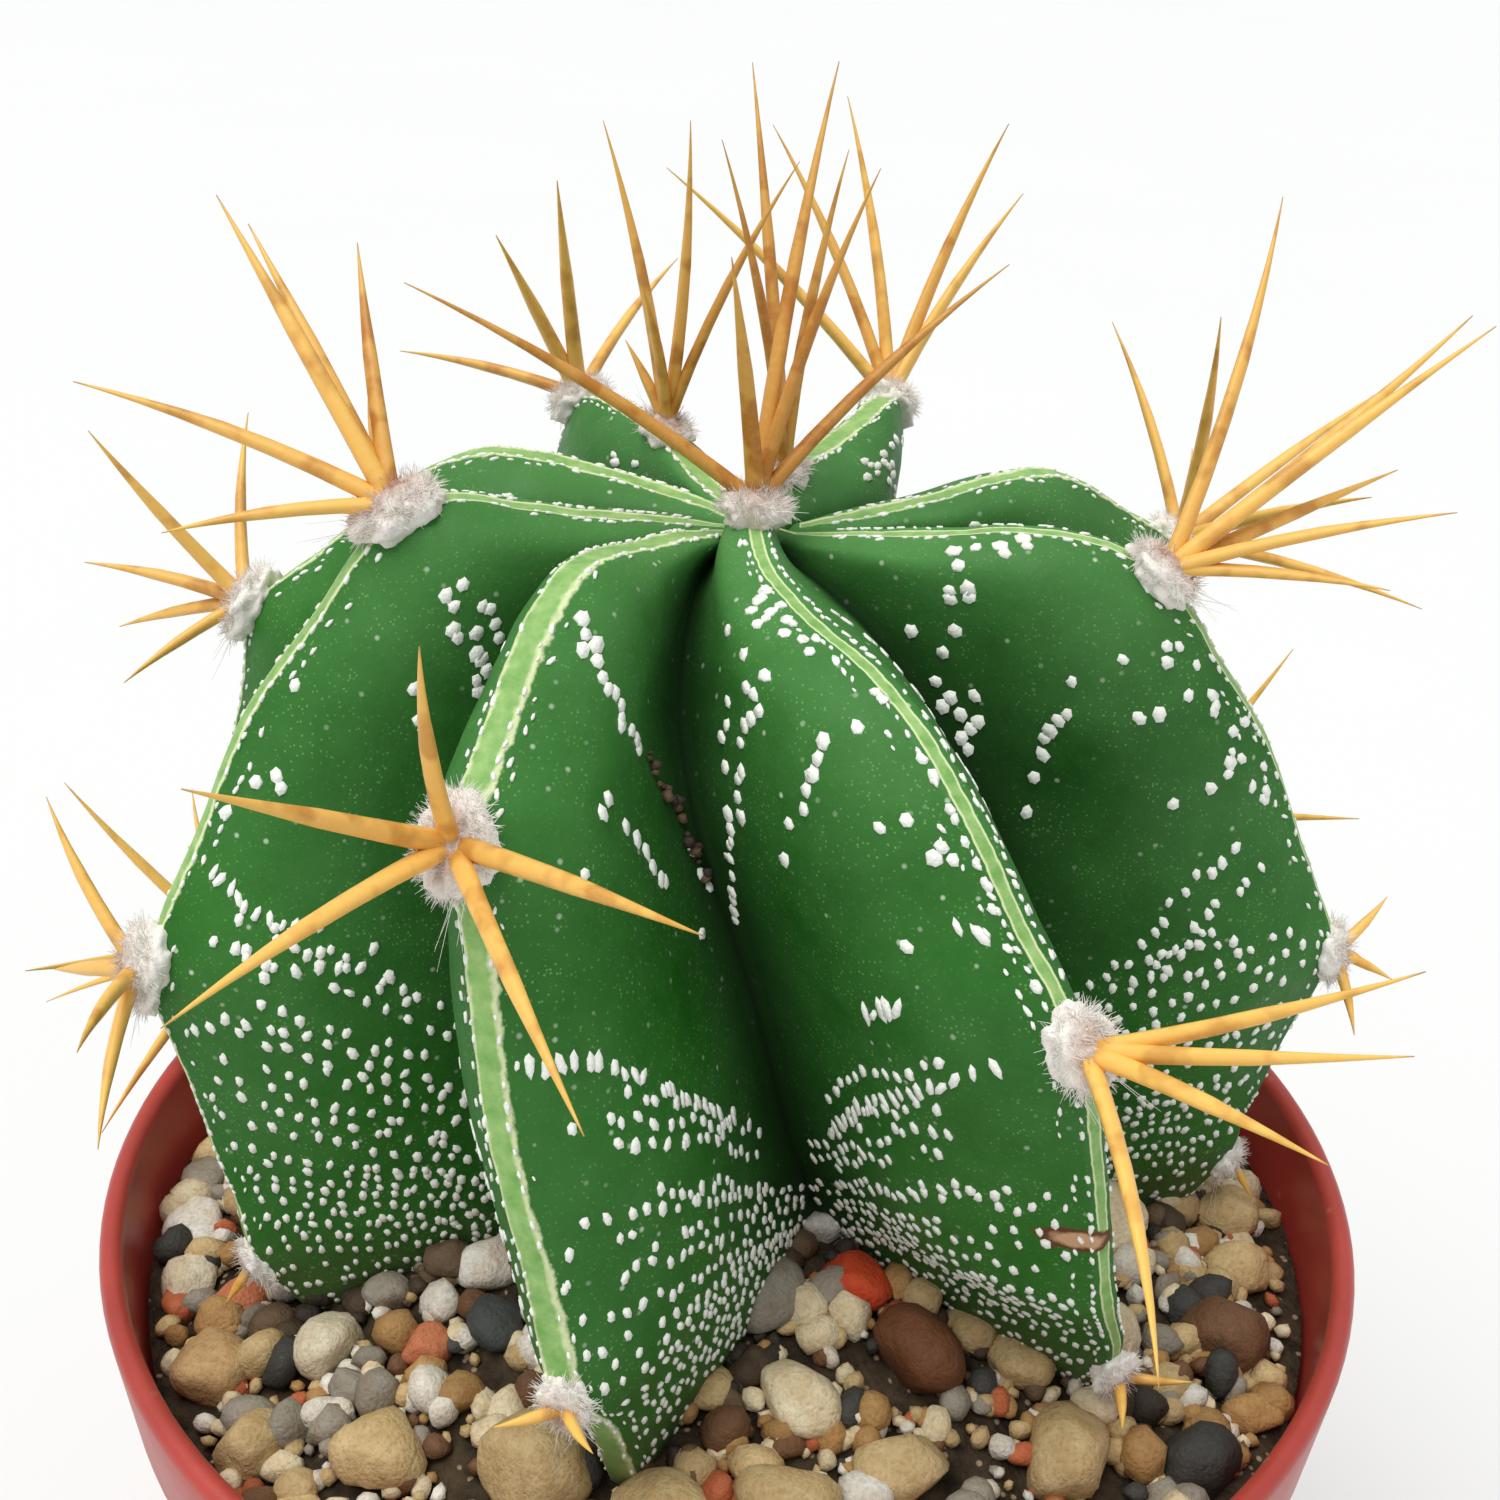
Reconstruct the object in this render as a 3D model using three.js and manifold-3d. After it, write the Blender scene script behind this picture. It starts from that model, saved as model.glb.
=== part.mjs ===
// Monk's hood cactus (Astrophytum ornatum) in a small plastic pot.
// Millimetres, +Z up, origin at the centre of the pot's flat underside.
// Azimuths are degrees from the front (-Y), growing towards the right (+X).
import * as THREE from 'three';
import Module from 'manifold-3d';
import { mergeVertices } from 'three/addons/utils/BufferGeometryUtils.js';

const wasm = await Module();
wasm.setup();
const { Manifold } = wasm;

// ---- Driving dimensions --------------------------------------------------------------------

const POT_HEIGHT = 75;
const RIM_RADIUS = 42.5;           // outside of the rolled rim
const RIM_WIDTH = 1.5;             // radial width of the rim's rounded lip
const RIM_BAND = 9;                // height of the wider band under the rim
const RIM_STEP = 2.2;              // how far the wall stands in from the rim at the band's foot
const BAND_SET = 0.8;              // how far the band stands in from the rim's lip
const BAND_INSIDE = 0.6;           // how much thicker the band is than the lip
const BASE_RADIUS = 30;
const BASE_CHAMFER = 1;
const WALL = 1.5;
const POT_SEGMENTS = 40;
const FLOOR = 2.2;
const DRAIN_HOLES = 6;
const DRAIN_RADIUS = 3.2;
const DRAIN_CIRCLE = 19;
const DRAIN_TURN = 15;             // azimuth of the first drain hole

const GAP = 0.3;                   // clearance between neighbouring pieces
const ROOM = 0.36;                 // growth of the stem's skin that leaves that clearance on its bends
const SOIL_TOP = POT_HEIGHT - 10;
const GRAVEL_BED = POT_HEIGHT - 6.2;   // at the pot's wall
const GRAVEL_MOUND = [[37, 0.2], [31, 2], [24, 4.6], [14, 7.4], [0, 7.4]];  // radius, rise over it
const PEBBLE_RADIUS = [3.1, 1.5];  // from the first laid to the last
const PEBBLE_VARIES = [0.85, 1.15];
const PEBBLE_BULGES = [0.9, 1.12];
const PEBBLE_BREADTH = [0.72, 0.96];
const PEBBLE_HEIGHT = [0.6, 0.85];
const PEBBLE_TILT = 0.45;          // radians either way
const PEBBLE_SIDES = 6;
const SEED = 7;
const PEBBLE_TRIES = 600;
// Stones set down before the scattered ones: x, y, radius.
const SET_STONES = [
  [8.2, -14.8, 2.5], [12, -19, 3], [-15.5, -13.2, 2.2], [-14.2, -17.6, 2], [-18.4, -18.6, 1.6],
  [-24.8, -17.4, 2.3], [-32, -17.8, 2.9], [-31.8, -12.6, 1.9], [-36, -10.2, 2.3], [-37.2, -4.7, 2.2],
];
const PEBBLE_SPACING = 1.04;       // least distance between two pebbles, as a share of their radii
const PEBBLE_CLEAR = 0.35;         // share of its radius that a pebble's centre keeps off the stem
const PEBBLE_RISE = 0.25;          // share of a pebble's radius that its centre stands over the bed
const PEBBLE_INSET = 1.12;         // share of its radius that it keeps off the pot

const RIBS = 8;
const STEM_CENTRE = new THREE.Vector2(0.6, 3.8);
const SOIL_LINE = POT_HEIGHT - 4.5;
// Radius and height over the soil line of a crest and of a furrow, evenly spaced from soil to crown.
const CREST = [
  [31.2, 0], [34.4, 8], [36, 14], [36.4, 25.5], [33, 36.5], [28.5, 44], [19.5, 51.2], [10, 50.6],
  [2.4, 49],
];
const FURROW = [
  [13, 0], [15, 8], [16.4, 16], [17.2, 27], [16.6, 35], [13.5, 41], [9, 45.5], [5, 47.6],
  [1.6, 48],
];
// Degrees that the furrow to the right of a rib swings to the right, evenly spaced from soil to crown.
const FURROW_TURN = { A: [8, -2, -11, -20, -22] };
const CREST_WIDTH = 1.7;           // width of the pale ridge along a rib's crest
const CREST_SHARE = 0.2;           // half that width's limit, as a share of the face's length
const CREST_DROP = 0.25;           // how far the ridge's edges lie behind its top
const FACE_SWELL = 2.6;            // how far a rib's faces stand out of a straight wedge
const SWELL_SHARE = 0.16;          // that swell's limit, as a share of the face's length
const SWELL_RISE = 0.3;            // place along the crest from which the swell is full
const SWELL_SCALE = 27 / 4;        // brings the swell's curve to a peak of 1
const SHOULDER = 0.77;             // place along the crest of the shoulder, where a slump is deepest
const SLUMP_SPREAD = 0.09;
const AREOLE_BUMP = 1.7;           // how far the crest stands out at an areole
const AREOLE_SPREAD = 0.055;       // length of that bump, as a share of the crest
const STEM_ROWS = 24;
const FACE_STEPS = [0.24, 0.5, 0.78];
const FOOT_DEPTH = 5.2;            // stem below the soil line
const FOOT_SHRINK = 0.84;
const HOLE_ROWS = 5;               // rows of the stem that the hole in the gravel follows
const HOLE_ROOM = 0.5;
const FURROW_ROOM = 5;             // how much further than that the hole stays off the narrow furrows
const ROOT_RINGS = [[0.45, 1], [0.8, 0.6], [1, 0]];  // shares of the next two, from tip to stem
const ROOT_RADIUS = 8;
const ROOT_LENGTH = 14;
const ROOT_SIDES = 12;
const ROOT_OVERLAP = 2;            // how far the root reaches into the stem

const PAD = [2.0, 2.7, 1.5];       // half size of a wool pad: across the rib, along it, outward
const SPINE_WIDTH = 1.25;
const SPINE_THICKNESS = 1;
const SPINE_BEND = 0.03;           // bow of a spine, as a share of its length
const SPINE_SIDES = 4;
const SPINE_TAPER = [[0.02, 1], [0.55, 0.72], [1, 0.06]];
const SPINE_ROOT = 0.35;           // share of the pad's height where its spines start
const SMALL_PAD_SPINE = 0.35;      // width of the spines of a vanishing pad

// Spines are [clock, splay, length]: clock 0 points up the rib and 90 to the right, and splay is the
// angle away from the areole's outward direction.
const STAR = [[0, 58, 17], [62, 62, 16], [128, 60, 16], [-128, 60, 17], [-60, 62, 16], [175, 14, 18]];
const LOW_FAN = [[-62, 50, 4], [74, 45, 4.5]];
const LOW_STUB = [[-160, 35, 3.5]];
const CROWN_FRONT = [[-104, 62, 23.5], [-167, 32, 16], [74, 44, 20.5], [107, 17, 20], [30, 12, 26]];
const CROWN_BACK = [[156, 39, 25.5], [-160, 20, 19.5], [89, 9, 21]];
const CROWN_LEFT = [[150, 39, 6], [59, 5, 20], [158, 24, 19], [80, 19, 11], [-59, 18, 19]];
const FRONT_LEFT = [[32, 38, 14], [106, 71, 17.5], [137, 65, 19.5], [-155, 34, 18], [-79, 19, 15]];
const FRONT_RIGHT = [[78, 38, 17], [90, 25, 16.5], [151, 12, 14.5], [-125, 41, 18.5]];
const LEFT_SHOULDER = [
  [-81, 34, 20], [-80, 45, 19.5], [-55, 49, 16], [-68, 64, 10], [-144, 45, 18.5], [-177, 63, 12.5],
];
const RIGHT_SHOULDER = [
  [-171, 48, 12], [63, 47, 23], [110, 34, 22.5], [118, 27, 22], [-179, 32, 15.5], [132, 45, 15],
];
const BACK_SHOULDER = [
  [-60, 22, 17.5], [64, 25, 22], [75, 39, 21.5], [-41, 14, 21.5], [68, 65, 22.5],
];
const BACK_LEFT = [[34, 53, 14], [132, 55, 15], [12, 56, 17], [-100, 50, 16]];
const FAR_LEFT = [
  [21, 29, 14.5], [-166, 21, 12], [-164, 47, 11.5], [135, 68, 9.5], [-53, 59, 14.5],
];
const LEFT_SIDE = [[-115, 72, 11.5], [89, 66, 11], [126, 74, 11.5], [-38, 67, 11.5]];
const RIGHT_SIDE = [[-126, 24, 4], [140, 50, 4], [-134, 75, 5.5], [50, 50, 5]];

// Azimuths of each rib's crest, evenly spaced from soil to crown; the rib's size; how far its shoulder
// slumps, where it does; how full its left and right faces are; and its areoles: [place along the
// crest from soil 0 to crown 1, pad size, spines].
const RIB_TABLE = {
  A: {
    turn: [-11, -14, -24, -33, -43],
    size: 1,
    fullness: [1, 1],
    areoles: { 1: [0.575, 1, FRONT_LEFT], 2: [0.235, 0.7, LOW_FAN] },
  },
  B: {
    turn: [46, 36.5, 26.5, 15.5, -12],
    size: 0.97,
    slump: 3,
    fullness: [1, 0.15],
    areoles: { 0: [0.96, 1, CROWN_FRONT], 1: [0.45, 0.9, FRONT_RIGHT], 2: [0.08, 0.7, LOW_FAN] },
  },
  D: {
    turn: [83, 82, 77, 66.5, 55],
    size: 1,
    fullness: [1, 1],
    areoles: { 1: [0.7, 0.85, RIGHT_SHOULDER], 2: [0.355, 0.8, RIGHT_SIDE], 3: [0.085, 0.6, LOW_STUB] },
  },
  F: {
    turn: [130, 125.5, 117, 104.5, 88],
    size: 1,
    fullness: [1, 1],
    areoles: { 1: [0.62, 0.9, STAR], 2: [0.3, 0.9, STAR] },
  },
  H: {
    turn: [179, 186, 178, 157, 168],
    size: 1,
    fullness: [0.3, 0.3],
    areoles: { 0: [0.95, 0.75, CROWN_BACK], 1: [0.7, 1, BACK_SHOULDER], 2: [0.34, 0.9, STAR] },
  },
  G: {
    turn: [-141, -147.5, -149, -146, -138],
    size: 1,
    fullness: [0.5, 0.5],
    areoles: { 0: [0.86, 0.75, CROWN_LEFT], 1: [0.7, 1, BACK_LEFT], 2: [0.3, 0.9, STAR] },
  },
  E: {
    turn: [-101, -100.5, -99.5, -103, -118],
    size: 1.03,
    fullness: [1, 1],
    areoles: { 1: [0.54, 1, FAR_LEFT], 2: [0.22, 0.9, STAR] },
  },
  C: {
    turn: [-58, -62.5, -66, -67.5, -68],
    size: 1.03,
    fullness: [1, 1],
    areoles: { 1: [0.73, 1, LEFT_SHOULDER], 2: [0.38, 1, LEFT_SIDE], 3: [0.085, 0.6, LOW_STUB] },
  },
};

// ---- Shared helpers ------------------------------------------------------------------------

const radians = THREE.MathUtils.degToRad;
const lerp = THREE.MathUtils.lerp;
const MERGE = 1e-4;
const range = (count) => [...Array(count).keys()];
const stemAxis = new THREE.Vector3(STEM_CENTRE.x, STEM_CENTRE.y, 0);

function seededRandom(seed) {
  let state = seed;
  return () => {
    state = (state + 0x6d2b79f5) | 0;
    let mixed = Math.imul(state ^ (state >>> 15), 1 | state);
    mixed = (mixed + Math.imul(mixed ^ (mixed >>> 7), 61 | mixed)) ^ mixed;
    return ((mixed ^ (mixed >>> 14)) >>> 0) / 4294967296;
  };
}

function solidOf(geometry) {
  geometry.deleteAttribute('normal');
  geometry.deleteAttribute('uv');
  const merged = mergeVertices(geometry, MERGE);
  return new Manifold(new wasm.Mesh({
    numProp: 3,
    vertProperties: new Float32Array(merged.attributes.position.array),
    triVerts: new Uint32Array(merged.index.array),
  }));
}

function geometryOf(solid) {
  const mesh = solid.getMesh();
  const geometry = new THREE.BufferGeometry();
  geometry.setAttribute('position', new THREE.BufferAttribute(new Float32Array(mesh.vertProperties), 3));
  geometry.setIndex(new THREE.BufferAttribute(new Uint32Array(mesh.triVerts), 1));
  geometry.computeVertexNormals();
  return geometry;
}

function largestPiece(solid) {
  return solid.decompose().sort((a, b) => b.volume() - a.volume())[0];
}

// A closed skin over rings of equally many points, each ring running the same way round.
function loft(rings) {
  const count = rings[0].length;
  const points = rings.flat();
  const triangles = [];
  for (let row = 0; row + 1 < rings.length; row += 1) {
    for (let i = 0; i < count; i += 1) {
      const a = row * count + i;
      const b = row * count + ((i + 1) % count);
      triangles.push(a, b, b + count, a, b + count, a + count);
    }
  }
  const cap = (row, flip) => {
    const centre = new THREE.Vector3();
    rings[row].forEach((point) => centre.addScaledVector(point, 1 / count));
    points.push(centre);
    for (let i = 0; i < count; i += 1) {
      const a = row * count + i;
      const b = row * count + ((i + 1) % count);
      triangles.push(...(flip ? [b, a] : [a, b]), points.length - 1);
    }
  };
  cap(0, true);
  cap(rings.length - 1, false);
  const geometry = new THREE.BufferGeometry().setFromPoints(points);
  geometry.setIndex(triangles);
  return geometry;
}

function atAzimuth(radius, azimuth, z) {
  const angle = radians(azimuth);
  return new THREE.Vector3(radius * Math.sin(angle), -radius * Math.cos(angle), z);
}

// ---- Stem: eight sharp ribs that turn a little as they rise -----------------------------------

const meridian = (points) => new THREE.SplineCurve(
  points.map(([radius, z]) => new THREE.Vector2(radius, SOIL_LINE + z)),
);
const crestLine = meridian(CREST);
const furrowLine = meridian(FURROW);
const ribNames = Object.keys(RIB_TABLE);

// The azimuth at t on a smooth curve through evenly spaced azimuths.
function turnAt(azimuths, t) {
  const knots = azimuths.map((azimuth) => new THREE.Vector2(azimuth, 0));
  return new THREE.SplineCurve(knots).getPoint(t).x;
}

const ribAzimuth = (rib, t) => turnAt(RIB_TABLE[rib].turn, t);

function crestPoint(rib, t) {
  const { x: radius, y: z } = crestLine.getPoint(t);
  const tangent = crestLine.getTangent(t);
  let bump = 0;
  for (const [place, size] of Object.values(RIB_TABLE[rib].areoles)) {
    bump += AREOLE_BUMP * size * Math.exp(-(((t - place) / AREOLE_SPREAD) ** 2));
  }
  const slump = (RIB_TABLE[rib].slump ?? 0) * Math.exp(-(((t - SHOULDER) / SLUMP_SPREAD) ** 2));
  const reach = radius * RIB_TABLE[rib].size + bump * tangent.y;
  const point = atAzimuth(reach, ribAzimuth(rib, t), z - slump - bump * tangent.x);
  return point.add(stemAxis);
}

function furrowPoint(index, t) {
  const left = ribAzimuth(ribNames[index], t);
  let right = ribAzimuth(ribNames[(index + 1) % RIBS], t);
  if (right < left) right += 360;
  const { x: radius, y: z } = furrowLine.getPoint(t);
  const swing = turnAt(FURROW_TURN[ribNames[index]] ?? [0, 0], t);
  return atAzimuth(radius, (left + right) / 2 + swing, z).add(stemAxis);
}

// Points across one rib at height t, from just past its left furrow to its right furrow.
// Room widens the section sideways and outward.
function ribSection(index, t, room = 0) {
  const rib = ribNames[index];
  const crest = crestPoint(rib, t);
  const outward = crest.clone().setZ(0).sub(stemAxis).normalize();
  const across = new THREE.Vector3(-outward.y, outward.x, 0);
  const face = (furrow, side) => {
    const run = furrow.distanceTo(crest);
    const sideways = across.clone().multiplyScalar(side);
    const fullness = RIB_TABLE[rib].fullness[side < 0 ? 0 : 1] * Math.min(1, t / SWELL_RISE);
    const swell = SWELL_SCALE * Math.min(FACE_SWELL, run * SWELL_SHARE) * fullness;
    const edge = crest.clone().addScaledVector(outward, -CREST_DROP);
    edge.addScaledVector(sideways, Math.min(CREST_WIDTH / 2, run * CREST_SHARE));
    const points = FACE_STEPS.map((share) => edge.clone().lerp(furrow, share)
      .addScaledVector(sideways, swell * share * (1 - share) ** 2 + room));
    return [edge.addScaledVector(sideways, room), ...points];
  };
  const left = face(furrowPoint((index + RIBS - 1) % RIBS, t), -1).reverse();
  const right = face(furrowPoint(index, t), 1);
  const furrow = furrowPoint(index, t).addScaledVector(outward, FURROW_ROOM * room);
  return [...left, crest.addScaledVector(outward, room), ...right, furrow];
}

// The stem's rings from its flat foot, up to a row.
function stemRings(rows, room = 0) {
  const ring = (t) => range(RIBS).flatMap((index) => ribSection(index, t, room));
  const rings = range(rows + 1).map((row) => ring(row / STEM_ROWS));
  const foot = rings[0].map((point) => new THREE.Vector3(
    lerp(STEM_CENTRE.x, point.x, FOOT_SHRINK),
    lerp(STEM_CENTRE.y, point.y, FOOT_SHRINK),
    SOIL_LINE - FOOT_DEPTH - room,
  ));
  return [foot, ...rings];
}

function stemSolid(grow = 0) {
  const skin = loft(stemRings(STEM_ROWS));
  skin.computeVertexNormals();
  const { position, normal } = skin.attributes;
  for (let i = 0; i < position.count; i += 1) {
    const corner = new THREE.Vector3().fromBufferAttribute(position, i);
    corner.addScaledVector(new THREE.Vector3().fromBufferAttribute(normal, i), grow);
    position.setXYZ(i, ...corner.toArray());
  }
  return solidOf(skin);
}

function rootNeck(grow = 0) {
  const top = SOIL_LINE - FOOT_DEPTH + ROOT_OVERLAP;
  const rings = ROOT_RINGS.map(([width, depth]) => {
    const radius = ROOT_RADIUS * width + grow;
    const z = top - (ROOT_LENGTH + grow) * depth;
    return range(ROOT_SIDES).map((i) => atAzimuth(radius, (i * 360) / ROOT_SIDES, z).add(stemAxis));
  });
  return solidOf(loft(rings));
}

// ---- Areoles: a wool pad on the rib's crest with its spines ----------------------------------

// Axes at a place on a crest: up the rib, to the right, and outward.
function crestFrame(rib, t) {
  const step = 0.01;
  const origin = crestPoint(rib, t);
  const up = crestLine.getTangent(t);
  const azimuth = ribAzimuth(rib, t);
  const outward = atAzimuth(up.y, azimuth, -up.x);
  const along = crestPoint(rib, Math.min(1, t + step)).sub(crestPoint(rib, t - step)).normalize();
  const right = new THREE.Vector3().crossVectors(outward, along).negate().normalize();
  const rise = new THREE.Vector3().crossVectors(outward, right).normalize();
  return { origin, right, rise, outward };
}

function padSolid(frame, size) {
  const geometry = new THREE.SphereGeometry(1, 7, 4);
  geometry.rotateX(Math.PI / 2);
  geometry.scale(PAD[0] * size, PAD[1] * size, PAD[2] * size);
  geometry.applyMatrix4(new THREE.Matrix4().makeBasis(frame.right, frame.rise, frame.outward));
  geometry.translate(...frame.origin.toArray());
  return solidOf(geometry);
}

// One spine, rooted inside its pad: a slightly flattened, slightly bent taper.
function spineSolid(frame, size, [clock, splay, length], thin) {
  const turn = radians(clock);
  const lean = radians(splay);
  const sideways = frame.rise.clone().multiplyScalar(Math.cos(turn));
  sideways.addScaledVector(frame.right, Math.sin(turn));
  const axis = frame.outward.clone().multiplyScalar(Math.cos(lean));
  axis.addScaledVector(sideways, Math.sin(lean));
  const flat = new THREE.Vector3().crossVectors(frame.outward, axis).normalize();
  const deep = new THREE.Vector3().crossVectors(axis, flat).normalize();
  const root = frame.origin.clone().addScaledVector(frame.outward, PAD[2] * size * SPINE_ROOT);
  const section = (share, width) => {
    const centre = root.clone().addScaledVector(axis, length * share);
    centre.addScaledVector(deep, SPINE_BEND * length * 4 * share * (1 - share));
    return range(SPINE_SIDES).map((i) => {
      const angle = (i / SPINE_SIDES) * 2 * Math.PI;
      return centre.clone()
        .addScaledVector(flat, 0.5 * width * SPINE_WIDTH * Math.cos(angle))
        .addScaledVector(deep, 0.5 * width * SPINE_THICKNESS * Math.sin(angle));
    });
  };
  const rings = SPINE_TAPER.map(([share, width]) => section(share, width * thin));
  return solidOf(loft(rings));
}

// The pad saddles the crest, so the stem's own shape is cut out of it.
function areoleSolid(rib, [place, size, spines], stemRoom) {
  const frame = crestFrame(rib, place);
  const thin = lerp(SMALL_PAD_SPINE, 1, size);
  const cluster = [padSolid(frame, size), ...spines.map((spine) => spineSolid(frame, size, spine, thin))];
  return Manifold.union(cluster).subtract(stemRoom);
}

// ---- Pot, soil and gravel --------------------------------------------------------------------

function latheSolid(outline, segments) {
  const points = outline.map(([radius, z]) => new THREE.Vector2(radius, z));
  const geometry = new THREE.LatheGeometry(points, segments);
  geometry.rotateX(Math.PI / 2);
  return solidOf(geometry);
}

const bandFoot = POT_HEIGHT - RIM_BAND;
const bandInside = RIM_RADIUS - RIM_WIDTH - BAND_INSIDE;
const wallRadius = (z) => lerp(BASE_RADIUS, RIM_RADIUS - RIM_STEP, z / bandFoot);

function potSolid() {
  const lip = RIM_WIDTH / 2;
  const lipArc = range(5).map((i) => {
    const angle = (i / 4) * Math.PI;
    return [RIM_RADIUS - lip + lip * Math.cos(angle), POT_HEIGHT - lip + lip * Math.sin(angle)];
  });
  const pot = latheSolid([
    [0, 0],
    [BASE_RADIUS - BASE_CHAMFER, 0],
    [BASE_RADIUS, BASE_CHAMFER],
    [wallRadius(bandFoot - 1), bandFoot - 1],
    [RIM_RADIUS - BAND_SET, bandFoot],
    ...lipArc,
    [bandInside, bandFoot + 1],
    [wallRadius(bandFoot - 2) - WALL, bandFoot - 2],
    [wallRadius(FLOOR) - WALL, FLOOR],
    [0, FLOOR],
  ], POT_SEGMENTS);
  const drains = range(DRAIN_HOLES).map((i) => {
    const hole = new THREE.CylinderGeometry(DRAIN_RADIUS, DRAIN_RADIUS, 3 * FLOOR, 16);
    hole.rotateX(Math.PI / 2);
    const centre = atAzimuth(DRAIN_CIRCLE, (i / DRAIN_HOLES) * 360 + DRAIN_TURN, FLOOR / 2);
    hole.translate(...centre.toArray());
    return solidOf(hole);
  });
  return pot.subtract(Manifold.union(drains));
}

function soilSolid() {
  const inside = (z) => wallRadius(z) - WALL - GAP;
  const soil = latheSolid([
    [0, FLOOR + GAP],
    [inside(FLOOR), FLOOR + GAP],
    [inside(bandFoot - 2), bandFoot - 2],
    [inside(bandFoot - 2), SOIL_TOP],
    [0, SOIL_TOP],
  ], POT_SEGMENTS);
  return soil.subtract(rootNeck(GAP));
}

// A pebble: a squashed, slightly uneven ball with its longest way round lying flat.
function pebble(centre, radius, random) {
  const geometry = new THREE.SphereGeometry(radius, PEBBLE_SIDES, 4);
  geometry.rotateX(Math.PI / 2);
  geometry.rotateZ(random() * Math.PI);
  const merged = mergeVertices(geometry.deleteAttribute('normal').deleteAttribute('uv'), MERGE);
  const corners = merged.attributes.position;
  for (let i = 0; i < corners.count; i += 1) {
    const bulge = lerp(...PEBBLE_BULGES, random());
    corners.setXYZ(i, corners.getX(i) * bulge, corners.getY(i) * bulge, corners.getZ(i) * bulge);
  }
  merged.scale(1, lerp(...PEBBLE_BREADTH, random()), lerp(...PEBBLE_HEIGHT, random()));
  merged.rotateX(lerp(-PEBBLE_TILT, PEBBLE_TILT, random()));
  merged.rotateZ(random() * Math.PI);
  merged.translate(centre.x, centre.y, centre.z);
  return solidOf(merged);
}

function bedHeight(radius) {
  const index = GRAVEL_MOUND.findIndex(([edge]) => edge < radius);
  if (index < 1) return GRAVEL_BED;
  const [[outer, low], [inner, high]] = GRAVEL_MOUND.slice(index - 1, index + 1);
  return GRAVEL_BED + lerp(high, low, (radius - inner) / (outer - inner));
}

// Whether a pebble lies mostly under the stem's star-shaped foot.
function insideStem(centre, radius) {
  const x = centre.x - STEM_CENTRE.x;
  const y = centre.y - STEM_CENTRE.y;
  const azimuth = THREE.MathUtils.radToDeg(Math.atan2(x, -y));
  const away = ribNames.map((rib) => {
    const turn = THREE.MathUtils.euclideanModulo(azimuth - ribAzimuth(rib, 0) + 180, 360);
    return Math.abs(turn - 180);
  });
  const share = Math.min(1, Math.min(...away) / (180 / RIBS));
  const foot = lerp(CREST[0][0], FURROW[0][0], share);
  return Math.hypot(x, y) < foot + PEBBLE_CLEAR * radius;
}

function gravelSolid() {
  const inner = bandInside - GAP;
  const bed = latheSolid([
    [0, SOIL_TOP + GAP],
    [wallRadius(bandFoot - 2) - WALL - GAP, SOIL_TOP + GAP],
    [inner, bandFoot + 1 + GAP],
    [inner, GRAVEL_BED],
    ...GRAVEL_MOUND.map(([radius, rise]) => [radius, GRAVEL_BED + rise]),
  ], POT_SEGMENTS);
  const random = seededRandom(SEED);
  const placed = [];
  const pebbles = [];
  const lay = (centre, radius) => {
    placed.push([centre.clone(), radius]);
    centre.z = bedHeight(Math.hypot(centre.x, centre.y)) + radius * PEBBLE_RISE;
    pebbles.push(pebble(centre, radius, random));
  };
  for (const [x, y, radius] of SET_STONES) lay(new THREE.Vector3(x, y, 0), radius);
  for (let attempt = 0; attempt < PEBBLE_TRIES; attempt += 1) {
    const settled = attempt / PEBBLE_TRIES;
    const radius = lerp(...PEBBLE_RADIUS, settled) * lerp(...PEBBLE_VARIES, random());
    const reach = Math.min(Math.sqrt(random()) * inner, inner - radius * PEBBLE_INSET);
    const azimuth = random() * 360 - 180;
    const centre = atAzimuth(reach, azimuth, 0);
    const free = placed.every(
      ([other, size]) => other.distanceTo(centre) > PEBBLE_SPACING * (radius + size),
    );
    if (free && !insideStem(centre, radius)) lay(centre, radius);
  }
  const heap = Manifold.union([bed, ...pebbles]);
  const hole = solidOf(loft(stemRings(HOLE_ROWS, HOLE_ROOM)));
  return largestPiece(heap.subtract(hole).subtract(rootNeck(GAP)));
}

// ---- Assembly --------------------------------------------------------------------------------

const materials = {
  pot: { color: '#8f3f3c', roughness: 0.42, metalness: 0 },
  soil: { color: '#3a2a20', roughness: 1, metalness: 0 },
  gravel: { color: '#c9b499', roughness: 0.8, metalness: 0 },
  stem: { color: '#2f6b3a', roughness: 0.55, metalness: 0 },
  areole: { color: '#c98a3a', roughness: 0.6, metalness: 0 },
};

const cactus = new THREE.Group();

function addPiece(name, solid, material) {
  const piece = new THREE.Mesh(geometryOf(solid), new THREE.MeshStandardMaterial(materials[material]));
  piece.name = name;
  cactus.add(piece);
}

const stemRoom = stemSolid(ROOM);
addPiece('pot', potSolid(), 'pot');
addPiece('potting_soil', soilSolid(), 'soil');
addPiece('gravel', gravelSolid(), 'gravel');
addPiece('stem', stemSolid().add(rootNeck()), 'stem');
for (const [rib, { areoles }] of Object.entries(RIB_TABLE)) {
  for (const [number, areole] of Object.entries(areoles)) {
    addPiece(`areole_${rib}${number}`, areoleSolid(rib, areole, stemRoom), 'areole');
  }
}

export default cactus;
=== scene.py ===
"""Potted monk's hood cactus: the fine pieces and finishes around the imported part.

Sizes are millimetres in this file's working code, and metres in its settings and in the finished
pieces. Azimuths are degrees from the front (-Y), growing towards the right (+X). A place on the
stem is given by its rib, by across, from -1 in the left furrow past 0 on the crest to 1 in the
right one, and by t, from 0 at the soil line to 1 at the crown.
"""

import math
import random

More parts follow.
